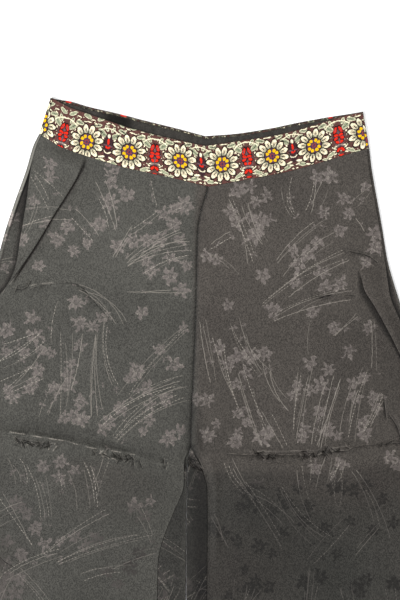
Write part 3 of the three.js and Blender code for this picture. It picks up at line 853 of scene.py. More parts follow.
def bundle(rng, start, end, count, spread_start, spread_end, bow):
    """Stems side by side, as rows of x, y at both ends and a bow."""
    way = np.subtract(end, start)
    side = np.array([-way[1], way[0]]) / math.hypot(*way)
    for place in np.linspace(-0.5, 0.5, count) if count > 1 else [0]:
        slide = rng.uniform(0, STEM_SLIDE, 2) * rng.choice([0, 1], 2)
        shift = rng.normal(0, STEM_SHIFT, 2) + rng.normal(0, SPREAD_SHIFT, 2) * (spread_start, spread_end)
        a = np.array(start) + side * (place * spread_start + shift[0]) + way * slide[0]
        b = np.array(end) + side * (place * spread_end + shift[1]) - way * slide[1]
        yield (*a, *b, (bow + rng.normal(0, BOW_SHIFT)) * (1 - slide.sum()))


def buds(rng, stems):
    """Small leaves and buds beside some of the stems."""
    for ax, ay, bx, by, _ in stems:
        for _ in range(rng.integers(0, 3)):
            t = rng.uniform(0, 1.05)
            yield (ax + (bx - ax) * t + rng.normal(0, 2), ay + (by - ay) * t + rng.normal(0, 2))


def hand_set(rng):
    flowers = []
    for x, y, count, reach in BLOSSOMS:
        turn = rng.uniform(0, ROUND_TURN)
        for i in range(count):
            angle = turn + i * ROUND_TURN / count
            flowers.append((x + reach * math.cos(angle), y + reach * math.sin(angle)))
    stems = [stem for row in STEMS for stem in bundle(rng, row[:2], row[2:4], *row[4:])]
    return flowers, stems


def strewn(rng, low, high):
    """Sprays drawn over a rectangle: each is a fan of stems with blossoms along its far half."""
    flowers, stems = [], []
    area = (high[0] - low[0]) * (high[1] - low[1])
    for _ in range(int(area / CLOTH_PER_SPRAY)):
        foot = rng.uniform(low, high)
        heading = rng.normal(math.pi / 2, SPRAY_LEAN)
        length = rng.uniform(*SPRAY_LENGTHS)
        tip = foot + length * np.array([math.cos(heading), math.sin(heading)])
        spread = rng.uniform(*SPRAY_SPREADS)
        stems += bundle(rng, foot, tip, rng.integers(3, 7), spread / 2, spread, rng.normal(0, 4))
        for _ in range(rng.integers(3, 6)):
            share = rng.uniform(0.45, 1.05)
            flowers.append(tuple(foot + (tip - foot) * share + rng.normal(0, spread * 0.5, 2)))
    return flowers, stems


# %% [markdown]
# ## A motif in the corners of a face
# A face can't hold a whole list of flowers, but a shader can draw one flower if it is told where it
# is within it. So each face keeps a few slots, and each slot gives its four corners their places in
# one motif's own coordinates. A slot left empty is far outside any motif and draws nothing.

# %% Places in a blossom and in a stem
STEM_HALF = 1.6


def on_cloth(points, measure, place):
    """The cloth's own measure at a place, on the layer that lies on top there."""
    gap = np.hypot(points[..., 0] - place[0], points[..., 1] - place[1]) - 0.6 * points[..., 2]
    return measure.reshape(-1, 2)[gap.argmin()]


def blossom_place(corners, motif):
    u, v, turn, radius, kind = motif
    dx, dy = corners[..., 0] - u, corners[..., 1] - v
    c, s = math.cos(turn) / radius, math.sin(turn) / radius
    return np.stack([c * dx + s * dy, c * dy - s * dx, np.full_like(dx, kind)], -1)


def blossom_near(place, half, motif):
    return np.hypot(place[..., 0], place[..., 1]) < 1.1 + half / motif[3]


def stem_place(corners, motif):
    ax, ay, bx, by, bow, kind = motif
    length = math.hypot(bx - ax, by - ay)
    c, s = (bx - ax) / length, (by - ay) / length
    dx, dy = corners[..., 0] - ax, corners[..., 1] - ay
    along = c * dx + s * dy
    t = along / length
    across = c * dy - s * dx - 4 * bow * t * (1 - t)
    return np.stack([across, np.minimum(along, length - along), np.full_like(dx, kind)], -1)


def stem_near(place, half, _):
    return (abs(place[..., 0]) < STEM_HALF + half) & (place[..., 1] > -half)


# %% Fill the slots of every face
FAR = (99.0, -99.0, 0.0)


def quads(grid):
    """The four corners of every square of a grid, in order round it."""
    return np.stack([grid[:-1, :-1], grid[:-1, 1:], grid[1:, 1:], grid[1:, :-1]], 2)


def fill_slots(corners, motifs, slots, place, is_near):
    """For each face, the local coordinates of the first few motifs that cross it."""
    middle = corners.mean(1)
    half = np.hypot(*(corners - middle[:, None]).transpose(2, 0, 1)).max(1)
    taken = np.zeros(len(corners), int)
    filled = np.tile(np.array(FAR), (slots, len(corners), 4, 1))
    for motif in motifs:
        hit = np.flatnonzero(is_near(place(middle, motif), half, motif) & (taken < slots))
        filled[taken[hit], hit] = place(corners[hit], motif)
        taken[hit] += 1
    return filled


# %% Painted shade and highlight along sharp creases
CREASE_SHADING_FROM = 1
FULL_CREASE_SHADING = 2
SHARP_BELOW = 2.3


def crease_shading_lines(points, measure):
    """Each stretch of a sharp crease or dent, laid on the cloth, and how strongly it is painted: below 0 with
    shade, above 0 with a highlight.
    """
    lines = [(line, height) for line, width, height, _ in CREASES if width < SHARP_BELOW]
    for seed, crumple in enumerate(CRUMPLES):
        lines += [(line, height) for line, _, height in dents(*crumple, 100 + seed)]
    laid = []
    for line, height in lines:
        if abs(height) < CREASE_SHADING_FROM or not near(*points[..., :2].transpose(2, 0, 1), line, 0).any():
            continue
        places = [on_cloth(points, measure, place) for place in line]
        shading_strength = max(-1, min(1, height / FULL_CREASE_SHADING))
        laid += [(*start, *end, 0, shading_strength) for start, end in zip(places[:-1], places[1:])]
    return sorted(laid, key=lambda motif: motif[-1])


# %% The pattern of one panel
BLOSSOM_SLOTS = 3
STEM_SLOTS = 4
CREASE_SHADING_SLOTS = 3


def woven_pattern(measure, flowers, stems, crushes, rng):
    def blossom(place, radii, kinds):
        return (*place, rng.uniform(0, ROUND_TURN), rng.uniform(*radii), rng.uniform(*kinds))

    blossoms = [blossom(place, BLOSSOM_RADII, (BUD_KINDS, 1)) for place in flowers]
    blossoms += [blossom(place, BUD_RADII, (0, BUD_KINDS)) for place in buds(rng, stems)]
    lines = [(*stem, rng.uniform()) for stem in stems]
    corners = quads(measure).reshape(-1, 4, 2)
    parts = {}
    for label, motifs, slots, place, is_near in (
        ("blossom", blossoms, BLOSSOM_SLOTS, blossom_place, blossom_near),
        ("stem", lines, STEM_SLOTS, stem_place, stem_near),
        ("crush", crushes, CREASE_SHADING_SLOTS, stem_place, stem_near),
    ):
        for i, filled in enumerate(fill_slots(corners, motifs, slots, place, is_near)):
            parts[f"{label}_{i}"] = filled
    return parts


def cloth_measure(panel):
    start = panel.points[:, :1, 0]
    return np.stack([start + panel.side["sign"] * panel.along, panel.points[..., 1]], 2)


# %% Patterns of the fronts and backs
STRIP_BELOW = 150
STRIP_REACH = 45
STRIP_BLOSSOMS = [(-197, 417), (-204, 362), (-206, 396)]
STRIP_STEMS = [(-209, 371, -193, 373), (-209, 368, -195, 369.5), (-196, 444, -183, 450)]


def front_pattern(panel, measure, seed):
    """The listed motifs that lie on this leg, and strewn ones below them."""
    rng = np.random.default_rng(seed)
    sign, points = panel.side["sign"], panel.points
    flowers, stems = hand_set(rng)
    mine = [p for p in flowers if (p[0] - 5) * sign > -3]
    laid = [on_cloth(points, measure, p) for p in mine]
    lines = []
    for ax, ay, bx, by, bow in stems:
        if (ax + bx - 10) * sign > 0:
            lines.append((*on_cloth(points, measure, (ax, ay)), *on_cloth(points, measure, (bx, by)), bow))
    more = strewn(rng, (measure[..., 0].min(), HEM), (measure[..., 0].max(), -HAND_SET_BELOW))
    return woven_pattern(measure, laid + more[0], lines + more[1], crease_shading_lines(points, measure), rng)


def back_pattern(panel, measure, seed):
    """Strewn sprays, but beside the side seam only what is listed: x, y and x0, y0, x1, y1."""
    rng = np.random.default_rng(seed)
    flowers, stems = strewn(rng, (measure[..., 0].min(), HEM), (measure[..., 0].max(), measure[..., 1].max()))

    def clear(u, v):
        start = np.interp(v, measure[::-1, 0, 1], measure[::-1, 0, 0])
        return v < STRIP_BELOW or abs(u - start) > STRIP_REACH

    flowers = [place for place in flowers if clear(*place)]
    stems = [stem for stem in stems if clear(*stem[:2]) and clear(*stem[2:4])]
    for x, y in STRIP_BLOSSOMS if panel.side is LEFT else []:
        flowers.append(tuple(on_cloth(panel.points, measure, (x, y))))
    for row in STRIP_STEMS if panel.side is LEFT else []:
        ends = [on_cloth(panel.points, measure, place) for place in (row[:2], row[2:])]
        stems.insert(0, (*ends[0], *ends[1], 0.5))
    return woven_pattern(measure, flowers, stems, [], rng)


# %% [markdown]
# ## From a grid to a closed cloth wall
# A single sheet of faces has no thickness and shows its wrong side. Here the grid is moved out to
# both sides along its own normal and closed round the rim, which gives a cloth of even thickness
# that can be measured. The pattern's places are stored in the face corners.

# %% Closed wall with its pattern


def grid_normals(points):
    across = np.gradient(points, axis=1)
    down = np.gradient(points, axis=0)
    normal = np.cross(across, down)
    return normal / np.maximum(np.linalg.norm(normal, axis=2, keepdims=True), 1e-9)


def wall_faces(rows, stations):
    index = np.arange(rows * stations).reshape(rows, stations)
    upper = quads(index).reshape(-1, 4)
    under = upper[:, ::-1] + rows * stations
    rim = np.concatenate([index[0, :-1], index[:-1, -1], index[-1, :0:-1], index[:0:-1, 0]])
    following = np.roll(rim, -1)
    sides = np.stack([following, rim, rim + rows * stations, following + rows * stations], 1)
    return np.concatenate([upper, under, sides])


def cloth_wall(name, points, thickness, at_points, at_corners):
    """A mesh object from a grid. at_points and at_corners hold the pattern's named places."""
    rows, stations = points.shape[:2]
    offset = grid_normals(points) * thickness / 2
    vertices = np.concatenate([(points + offset).reshape(-1, 3), (points - offset).reshape(-1, 3)]) * MM
    faces = wall_faces(rows, stations)
    mesh = bpy.data.meshes.new(name)
    mesh.from_pydata(vertices.tolist(), [], faces.tolist())
    for label, values in at_points.items():
        doubled = np.concatenate([values.reshape(-1, 3)] * 2).astype(np.float32)
        mesh.attributes.new(label, "FLOAT_VECTOR", "POINT").data.foreach_set("vector", doubled.ravel())
    for label, values in at_corners.items():
        rim = np.tile(np.array(FAR), (len(faces) - 2 * len(values), 4, 1))
        filled = np.concatenate([values, values[:, ::-1], rim]).astype(np.float32)
        mesh.attributes.new(label, "FLOAT_VECTOR", "CORNER").data.foreach_set("vector", filled.ravel())
    mesh.polygons.foreach_set("use_smooth", np.ones(len(faces), bool))
    mesh.set_sharp_from_angle(angle=math.radians(55))
    wall = bpy.data.objects.new(name, mesh)
    bpy.context.scene.collection.objects.link(wall)
    return wall


# %% [markdown]
# ## Painted light, shade and sheen
# Satin shines or goes dull with the lie of its threads under the light, and here that sheen is painted
# into its colour, with painted shade. Below the lower crease the ground is painted darker and the
# flowers sink into it, most on the right leg; sharp hollows get painted shade and sharp ridges a
# painted highlight; the back panels are painted darker, most inside the legs. Three values at each
# point say this: how light the ground is, how far the flowers stand out, and how warm it looks.

# %% Painted light and shade of the ground
LOWER_CREASE = 160
UNSEEN = (-260, -40)
UNSEEN_LIGHT = 0.76
UNSEEN_FLOWERS = 0.1
SHARP_FOR_FULL_SHADE = 1.8
SEAM_SHADE, SEAM_SHADE_WIDTH = 0.72, 1.5
# Painted shade on the back panels, everywhere and more inside each leg
BACK_PAINTED_SHADE = 0.16
INSIDE_LEG_SHADE = {-1: 0.36, 1: 0.5}
# painted sheen patches: middle, half-widths, how much lighter (below 0, painted shade)
SHEEN_PATCHES = [((-70, 415), (70, 45), 0.09), ((20, 170), (40, 30), -0.12)]


def bell(distance, width):
    return np.exp(-((distance / width) ** 2))


def painted_sheen_regions(x, y):
    """How far a place is on the right leg, below the lower crease, far below it, and in sight."""
    crease_at = LOWER_CREASE - 14 * ease(x, -120, -20) + 8 * ease(x, 140, 230)
    drop = crease_at - y
    return ease(x, 0, 12), drop, ease(drop, 0, 16), ease(drop, 10, 60), ease(y, *UNSEEN)


def ground_painted_light(panel):
    x, y, along = panel.points[..., 0], panel.points[..., 1], panel.along
    right, _, below, far_below, seen = painted_sheen_regions(x, y)
    # Painted shade and sheen: darker on the right leg and below the lower crease, most on the right leg
    light = 1 - 0.03 * right - below * (0.16 + 0.17 * right)
    light = light - far_below * right * (0.16 - 0.14 * ease(x, 140, 220))
    light = light * seen + UNSEEN_LIGHT * (1 - seen)
    for (middle_x, middle_y), (wide, tall), change in SHEEN_PATCHES:
        light += change * bell(x - middle_x, wide) * bell(y - middle_y, tall)
    # Painted shade towards the right edge of the right leg, between the creases
    light -= 0.1 * ease(x, 170, 235) * ease(y, 180, 230) * (1 - ease(y, 330, 400))
    # Painted light falling off: a touch lighter above, darker lower down
    light *= 1.05 - 0.15 * (1 - ease(y, 290, 360))
    # Painted soft shadows
    for line, width, depth in SHADOWS:
        light = light * (1 - crease_height(x, y, line, width, depth, 0.2, 1))
    # Painted shade in sharp hollows and a painted highlight on sharp ridges
    light *= 1 - 0.4 * np.clip(-panel.sharp / SHARP_FOR_FULL_SHADE, 0, 1) ** 1.3
    light *= 1 + 0.25 * np.clip(panel.sharp / SHARP_FOR_FULL_SHADE, 0, 1)
    open_leg = 1 - ease(y, *CROTCH)
    # Back panels: painted shade, deepest inside the open legs, and a painted highlight along the left back's
    # inner edge below the crotch
    if panel.behind:
        light *= 1 - BACK_PAINTED_SHADE - bell(x, 60) * open_leg * INSIDE_LEG_SHADE[panel.side["sign"]]
        from_edge = abs(x - (x.max(axis=1, keepdims=True) if panel.side is LEFT else 500))
        light *= 1 + 0.9 * (1 - ease(y, 120, 145)) * bell(from_edge, 1.3)
    else:
        # Fronts: painted shade along the centre seam, a painted highlight along the inner leg edges, and
        # painted shade at the right front's very edge
        light *= 1 - (1 - open_leg) * SEAM_SHADE * bell(along, SEAM_SHADE_WIDTH)
        light *= 1 + open_leg * (0.1 * bell(along, 18) - 0.25 * right * bell(along, 3))
    return light


# %% Painted light, sheen and tint of each place


def lustre(panel):
    x, y = panel.points[..., 0], panel.points[..., 1]
    right, drop, below, far_below, seen = painted_sheen_regions(x, y)
    # Painted sheen: below the lower crease the flowers turn darker than the ground, most on the right leg, in
    # slow waves further down
    sunk = ease(drop, 10 - 8 * right, 60 - 22 * right)
    flowers = 1 - below * 0.3 - sunk * (0.5 + 0.72 * right)
    flowers += far_below * (0.25 + 0.3 * right) * np.sin(x / 27 + 1) * np.sin(y / 31)
    flowers = flowers * seen + UNSEEN_FLOWERS * (1 - seen)
    # Painted sheen of the ground below the lower crease
    sheen = below * np.sin(x / 43 + 0.6) * np.sin(y / 36 + 1)
    light = ground_painted_light(panel) * (1 + 0.06 * sheen)
    # A warmer tint on the right leg, and where there is painted shade and painted sheen
    warm = np.clip(right * (1 - 0.6 * far_below) + 1.5 * panel.shade + 0.4 * sheen, 0, 1)
    # Painted light times painted shade, the flowers' painted sheen, and the warm tint
    return np.stack([light * (1 - panel.shade), np.clip(flowers, -1, 1), warm], -1)


# %% [markdown]
# ## Wires for shader maths
# A woven motif is drawn by arithmetic on its local coordinates: a circle is a distance, a petal is
# a stretched circle. Written node by node that would be unreadable, so a Wire stands for a value in
# a node tree, and sums, products and comparisons of wires place the Math nodes.

# %% Wires


class Wire:
    def __init__(self, socket):
        self.socket = socket
        self.tree = socket.id_data

    def math(self, operation, *others):
        node = self.tree.nodes.new("ShaderNodeMath")
        node.operation = operation
        for slot, value in zip(node.inputs, (self, *others)):
            if isinstance(value, Wire):
                self.tree.links.new(value.socket, slot)
            else:
                slot.default_value = value
        return Wire(node.outputs[0])

    def __add__(self, other):
        return self.math("ADD", other)

    def __radd__(self, other):
        return self.math("ADD", other)

    def __sub__(self, other):
        return self.math("SUBTRACT", other)

    def __rsub__(self, other):
        return self.math("MULTIPLY_ADD", -1.0, other)

    def __mul__(self, other):
        return self.math("MULTIPLY", other)

    def __rmul__(self, other):
        return self.math("MULTIPLY", other)

    def __truediv__(self, other):
        return self.math("DIVIDE", other)

    def __abs__(self):
        return self.math("ABSOLUTE")

    def fall(self, edge, blur):
        """1 where the value is under an edge, fading to 0 above it."""
        node = self.tree.nodes.new("ShaderNodeMapRange")
        node.interpolation_type = "SMOOTHSTEP"
        self.tree.links.new(self.socket, node.inputs["Value"])
        for label, value in (("From Min", edge - blur), ("From Max", edge + blur)):
            node.inputs[label].default_value = value
        node.inputs["To Min"].default_value = 1
        node.inputs["To Max"].default_value = 0
        return Wire(node.outputs[0])

    def rise(self, edge, blur):
        return 1 - self.fall(edge, blur)


# %% Helpers that join, split and read wires


def both(first, second):
    return first.math("MULTIPLY", second)


def either(first, second):
    return first.math("MAXIMUM", second)


def split(vector):
    node = vector.tree.nodes.new("ShaderNodeSeparateXYZ")
    vector.tree.links.new(vector.socket, node.inputs[0])
    return [Wire(socket) for socket in node.outputs]


def join(x, y, z=0.0):
    tree = x.tree
    node = tree.nodes.new("ShaderNodeCombineXYZ")
    for slot, value in zip(node.inputs, (x, y, z)):
        if isinstance(value, Wire):
            tree.links.new(value.socket, slot)
        else:
            slot.default_value = value
    return Wire(node.outputs[0])


def noise(vector, scale, detail=1.0):
    node = vector.tree.nodes.new("ShaderNodeTexNoise")
    node.inputs["Scale"].default_value = scale
    node.inputs["Detail"].default_value = detail
    vector.tree.links.new(vector.socket, node.inputs["Vector"])
    return Wire(node.outputs[0])


def random_value(vector):
    node = vector.tree.nodes.new("ShaderNodeTexWhiteNoise")
    node.noise_dimensions = "3D"
    vector.tree.links.new(vector.socket, node.inputs["Vector"])
    return Wire(node.outputs["Value"])


def attribute(tree, name):
    node = tree.nodes.new("ShaderNodeAttribute")
    node.attribute_name = name
    return Wire(node.outputs["Vector"])


# %% [markdown]
# ## Colours and node groups
# A colour is written as the code that a screen uses and turned to linear light, and it is painted
# over another through a mask, as a stencil lets dye through. An effect that several cloths share is
# a node group with named sockets, built once and placed with other values in each material.

# %% Colours through masks


def ink(hexcode):
    """A colour as written for the screen, turned to linear light."""
    parts = [int(hexcode[i : i + 2], 16) / 255 for i in (1, 3, 5)]
    return (*[p / 12.92 if p < 0.04045 else ((p + 0.055) / 1.055) ** 2.4 for p in parts], 1.0)


def paint(under, over, mask):
    """Lays a colour over another where the mask is 1. Either colour may be a wire or a hex code."""
    tree = mask.tree
    node = tree.nodes.new("ShaderNodeMix")
    node.data_type = "RGBA"
    tree.links.new(mask.socket, node.inputs[0])
    for slot, colour in ((node.inputs[6], under), (node.inputs[7], over)):
        if isinstance(colour, Wire):
            tree.links.new(colour.socket, slot)
        else:
            slot.default_value = ink(colour)
    return Wire(node.outputs[2])


def shade(colour, amount):
    """A colour made lighter or darker by a value."""
    tree = amount.tree
    node = tree.nodes.new("ShaderNodeVectorMath")
    node.operation = "SCALE"
    if isinstance(colour, Wire):
        tree.links.new(colour.socket, node.inputs[0])
    else:
        node.inputs[0].default_value = ink(colour)[:3]
    tree.links.new(amount.socket, node.inputs["Scale"])
    return Wire(node.outputs[0])


# %% Node groups


def new_group(name, inputs, outputs):
    """A shader node group with named sockets; gives the group, its input wires and an exit."""
    group = bpy.data.node_groups.new(name, "ShaderNodeTree")
    for label, kind in inputs:
        group.interface.new_socket(label, in_out="INPUT", socket_type=kind)
    for label, kind in outputs:
        group.interface.new_socket(label, in_out="OUTPUT", socket_type=kind)
    entry = group.nodes.new("NodeGroupInput")
    leave = group.nodes.new("NodeGroupOutput")

    def give(**results):
        for label, wire in results.items():
            group.links.new(wire.socket, leave.inputs[label])

    return group, [Wire(entry.outputs[label]) for label, _ in inputs], give


def use_group(tree, group, **values):
    node = tree.nodes.new("ShaderNodeGroup")
    node.node_tree = group
    for label, value in values.items():
        if isinstance(value, Wire):
            tree.links.new(value.socket, node.inputs[label])
        else:
            node.inputs[label].default_value = value
    return {socket.name: Wire(socket) for socket in node.outputs}


VALUE, VECTOR, COLOUR = "NodeSocketFloat", "NodeSocketVector", "NodeSocketColor"

# %% [markdown]
# ## Threads, blossoms and stems
# Every cloth here is woven, so one group gives all of them their threads: fine ribs both ways and
# a soft mottle, as a height for the bump and a value for the colour. The jacquard's blossom and
# its stem are groups too, since each is placed several times over a face.

# %% Thread group


def thread_group():
    group, (place, pitch), give = new_group(
        "woven threads", [("Place", VECTOR), ("Pitch", VALUE)], [("Height", VALUE), ("Mottle", VALUE)]
    )
    x, y, _ = split(place)
    weft = (y / pitch * ROUND_TURN).math("SINE")
    warp = (x / pitch * ROUND_TURN).math("SINE")
    slub = noise(join(x * 0.25, y * 1.6), 1.0, 2.0)
    fleck = noise(place, 0.62, 3.0)
    float_end = random_value(join((x / 0.8).math("FLOOR"), (y / 1.15).math("FLOOR")))
    mottle = float_end * 0.75 + fleck * 0.6 + slub * 0.3 - 0.325
    give(Height=weft * warp * 0.5 + slub * 0.7 + fleck, Mottle=mottle)
    return group


THREADS = thread_group()

# %% Blossom group


def blossom_group():
    """A ragged flower in a circle of radius 1: loose oval petals, long ones and short between."""
    outputs = [("Petals", VALUE), ("Rim", VALUE)]
    group, (place,), give = new_group("woven blossom", [("Place", VECTOR)], outputs)
    x, y, kind = split(place)
    ragged = noise(join(x, y, kind * 40), 2.6, 3.0) - 0.5
    ragged_too = noise(join(x, y, kind * 40 + 9), 2.6, 3.0) - 0.5
    x, y = x + ragged * 0.7, y + ragged_too * 0.7
    radius = (x * x + y * y).math("SQRT")
    petals = kind.rise(BUD_KINDS, 0.01) * 2 + (kind * 3.99).math("FLOOR") + 2
    turn = y.math("ARCTAN2", x) / ROUND_TURN * petals
    ovals = []
    for offset, inner, middle, half in ((0, 0.42, 0.62, 0.36), (0.5, 0.2, 0.5, 0.24)):
        cell = (turn + offset).math("ROUND")
        own = random_value(join(cell, kind * 90 + offset))
        other = random_value(join(cell, kind * 70 + 5 + offset))
        swing = (turn + offset - cell + (other - 0.5) * 0.3) * ROUND_TURN / petals
        along, across = radius * swing.math("COSINE"), radius * swing.math("SINE")
        length = own * 0.45 + 0.62 - offset * 0.3
        out = (along / length - middle) / half
        wide = across / (other * 0.12 + inner * 0.28)
        ovals.append((out * out + wide * wide).math("SQRT"))
    petal = either(ovals[0].fall(0.95, 0.16), ovals[1].fall(0.9, 0.2) * 0.8)
    heart = radius.fall(0.12, 0.1)
    grain = noise(join(x, y, kind * 17), 5.5, 2.0)
    rim = both(abs(ovals[0] - 0.8).fall(0.16, 0.16), grain.rise(0.54, 0.07))
    give(Petals=both(either(petal, heart), grain.rise(0.44, 0.1) * 0.4 + 0.6), Rim=rim)
    return group


BLOSSOM = blossom_group()

# %% Stem group
DOT_PITCH = 3.7
DOTTED_FROM = 0.62


def stem_group():
    """A fine line, or a row of bright stitches on a faint line, stronger in some stretches."""
    group, (place,), give = new_group("woven stem", [("Place", VECTOR)], [("Line", VALUE), ("Dots", VALUE)])
    across, end, kind = split(place)
    across = across + (noise(join(end * 0.2, kind * 60), 1.0) - 0.5) * 1.5
    broken = noise(join(end * 0.42, kind * 50), 1.0, 2.0).rise(0.4, 0.08) * 0.75 + 0.25
    line = both(both(abs(across).fall(0.28, 0.22), end.rise(1.2, 1.2)), broken)
    gap = noise(join(end * 0.11, kind * 60), 1.0, 2.0)
    stitch = abs((end / DOT_PITCH + gap).math("FRACT") - 0.5).fall(0.17, 0.1)
    dotted = kind.rise(DOTTED_FROM, 0.01)
    strength = gap * 0.8 + (kind * 7).math("FRACT") * 0.55
    line = both(line, strength)
    give(Line=both(line, 1 - dotted * 0.6), Dots=both(line, both(stitch, dotted)))
    return group


STEM = stem_group()

# %% Crease shading group


def crease_shading_group():
    """A line of painted shade along a sharp crease: dark and ragged in a hollow, with a painted highlight on
    the lip beside it, or a painted highlight alone on a ridge.
    """
    outputs = [("Dark", VALUE), ("Lit", VALUE)]
    group, (place,), give = new_group("crushed threads", [("Place", VECTOR)], outputs)
    across, end, shading_strength = split(place)
    across = across + (noise(join(end * 0.7, shading_strength * 60), 1.0, 2.0) - 0.5) * 1.4
    ragged = noise(join(end * 0.9, shading_strength * 33), 1.0, 2.0).rise(0.46, 0.1) * 0.8 + 0.2
    near_line = both(abs(across).fall(0.42, 0.34), both(end.rise(-0.2, 0.5), ragged))
    lip = both(abs(across - 1.15).fall(0.3, 0.25), end.rise(0, 0.5))
    dark = both(near_line, (shading_strength * -1).math("MAXIMUM", 0.0))
    patches = noise(join(end * 0.13, shading_strength * 9), 1.0, 2.0).rise(0.5, 0.1)
    lit = both(both(near_line, patches), shading_strength.math("MAXIMUM", 0.0))
    lip = both(lip, patches * 0.8 + 0.2)
    give(Dark=dark, Lit=either(lit, both(lip, (shading_strength * -0.6).math("MAXIMUM", 0.0))))
    return group


CREASE_SHADING = crease_shading_group()

# %% [markdown]
# ## The jacquard
# A charcoal satin: the ground is a little rough, the floats of the flowers shine more. The pattern
# is tonal, so the flowers are the ground's own colour made lighter and a touch pinker, or darker
# where the painted sheen says so, and painted light and shade lie over it. Sheen and bump stay in the
# material; the groups give only values.

# %% Bump, and the strongest of several motifs


def bump(tree, height, strength, distance, shader):
    node = tree.nodes.new("ShaderNodeBump")
    node.inputs["Strength"].default_value = strength
    node.inputs["Distance"].default_value = distance
    tree.links.new(height.socket, node.inputs["Height"])
    tree.links.new(node.outputs[0], shader.inputs["Normal"])


def strongest(tree, group, label, slots, after=None):
    """A motif group at each of its slots, and the strongest of what they give. Each place is moved
    by a millionth of the result before, so the slots are worked out in turn: all at once would
    need more memory than one material may have."""
    best = None
    for i in range(slots):
        place = attribute(tree, f"{label}_{i}")
        if after:
            node = tree.nodes.new("ShaderNodeVectorMath")
            tree.links.new(place.socket, node.inputs[0])
            tree.links.new((after * 1e-6).socket, node.inputs[1])
            place = Wire(node.outputs[0])
        found = list(use_group(tree, group, Place=place).values())
        best = [either(one, other) for one, other in zip(best, found)] if best else found
        after = best[0]
    return best


# %% Jacquard material
GRAIN = 1.1


def jacquard_material():
    material, tree, shader = new_material("flower jacquard")
    place = attribute(tree, "place")
    # Painted light and shade of the ground, the painted sheen of the flowers, and a warm tint
    light, flower_sheen, right = split(attribute(tree, "lustre"))
    threads = use_group(tree, THREADS, Place=place, Pitch=0.9)
    petals, rims = strongest(tree, BLOSSOM, "blossom", BLOSSOM_SLOTS)
    lines, dots = strongest(tree, STEM, "stem", STEM_SLOTS, petals)
    dark, lit = strongest(tree, CREASE_SHADING, "crush", CREASE_SHADING_SLOTS, lines)
    cloud = noise(place, 0.014, 3.0)
    # A warmer ground where the tint says: on the right leg, and in painted shade and painted sheen
    ground = paint("#3e3d39", "#3d3935", right)
    contrast = GRAIN + (1 - light) * GRAIN * 0.4
    ground = shade(ground, light * ((threads["Mottle"] - 0.5) * contrast + 1) * (cloud * 0.6 + 0.67))
    flower = shade(paint("#1c1a18", "#5f5855", flower_sheen.rise(0.15, 0.3)), light)
    stem = shade(paint("#5c5753", "#827c74", flower_sheen.rise(0.1, 0.6)), light * 0.7 + 0.3)
    stitch = shade(paint("#716c66", "#9d968c", flower_sheen.rise(0.1, 0.6)), light * 0.7 + 0.3)
    colour = paint(ground, flower, petals * (threads["Mottle"] * 0.3 + 0.7))
    colour = paint(colour, stem, either(lines * 0.9, both(rims * 0.6, flower_sheen.rise(0.3, 0.3))))
    # Stitches, and painted highlights on sharp ridges and lips; then painted shade in sharp hollows
    colour = paint(colour, stitch, either(dots, lit * 0.5))
    colour = shade(colour, 1 - dark * 0.8)
    tree.links.new(colour.socket, shader.inputs["Base Color"])
    rough = 0.62 - petals * 0.12
    tree.links.new(rough.socket, shader.inputs["Roughness"])
    shader.inputs["Specular IOR Level"].default_value = 0.12
    shader.inputs["Sheen Weight"].default_value = 0.02
    shader.inputs["Sheen Roughness"].default_value = 0.4
    bump(tree, threads["Height"] + petals * 0.5 + lines * 0.5, 0.6, 0.00018, shader)
    return material


jacquard = jacquard_material()

# %% [markdown]
# ## The ribbon
# The waistband is a woven border ribbon: a row of cream daisies with yellow and purple hearts,
# with a tall red blossom and a small dark one by turns between them, on a plum ground full of
# sage leaves. The repeat mirrors about each blossom, so only half of it is drawn: `away` is the
# distance from the tall blossom, and 51 mm on comes the small one. Ovals are enough for all of
# it. The design is a general one of this old kind.

# %% Oval group
RIBBON_WIDTH = 42.5
REPEAT = 102
TALL_BLOSSOM_AT = 45
DAISY_AT = (27.8, 20.3)


def oval_group():
    sockets = ["X", "Y", "Middle X", "Middle Y", "Half Length", "Half Width", "Turn"]
    group, wires, give = new_group("oval", [(label, VALUE) for label in sockets], [("Distance", VALUE)])
    x, y, middle_x, middle_y, length, width, turn = wires
    dx, dy = x - middle_x, y - middle_y
    c, s = turn.math("COSINE"), turn.math("SINE")
    along = (c * dx + s * dy) / length
    across = (c * dy - s * dx) / width
    give(Distance=(along * along + across * across).math("SQRT"))
    return group


OVAL = oval_group()


def oval(x, y, at, size, turn=0.0):
    """How far out a point is from an oval's middle: 1 on its rim. Turn is in degrees."""
    values = {"Middle X": at[0], "Middle Y": at[1], "Half Length": size[0], "Half Width": size[1]}
    return use_group(x.tree, OVAL, X=x, Y=y, Turn=math.radians(turn), **values)["Distance"]


def ring(x, y, at, radius, half_width):
    distance = ((x - at[0]) * (x - at[0]) + (y - at[1]) * (y - at[1])).math("SQRT")
    return abs(distance - radius).fall(half_width, 0.25)


# %% Leaves, daisies and blossoms of the ribbon
CREAM, SAGE, PLUM, DARK, RED = "#e1d8b9", "#868b72", "#52342f", "#140707", "#c42310"
YELLOW, PURPLE, MAUVE = "#d6a800", "#3c2843", "#5a444a"
OUTLINE = 1.38
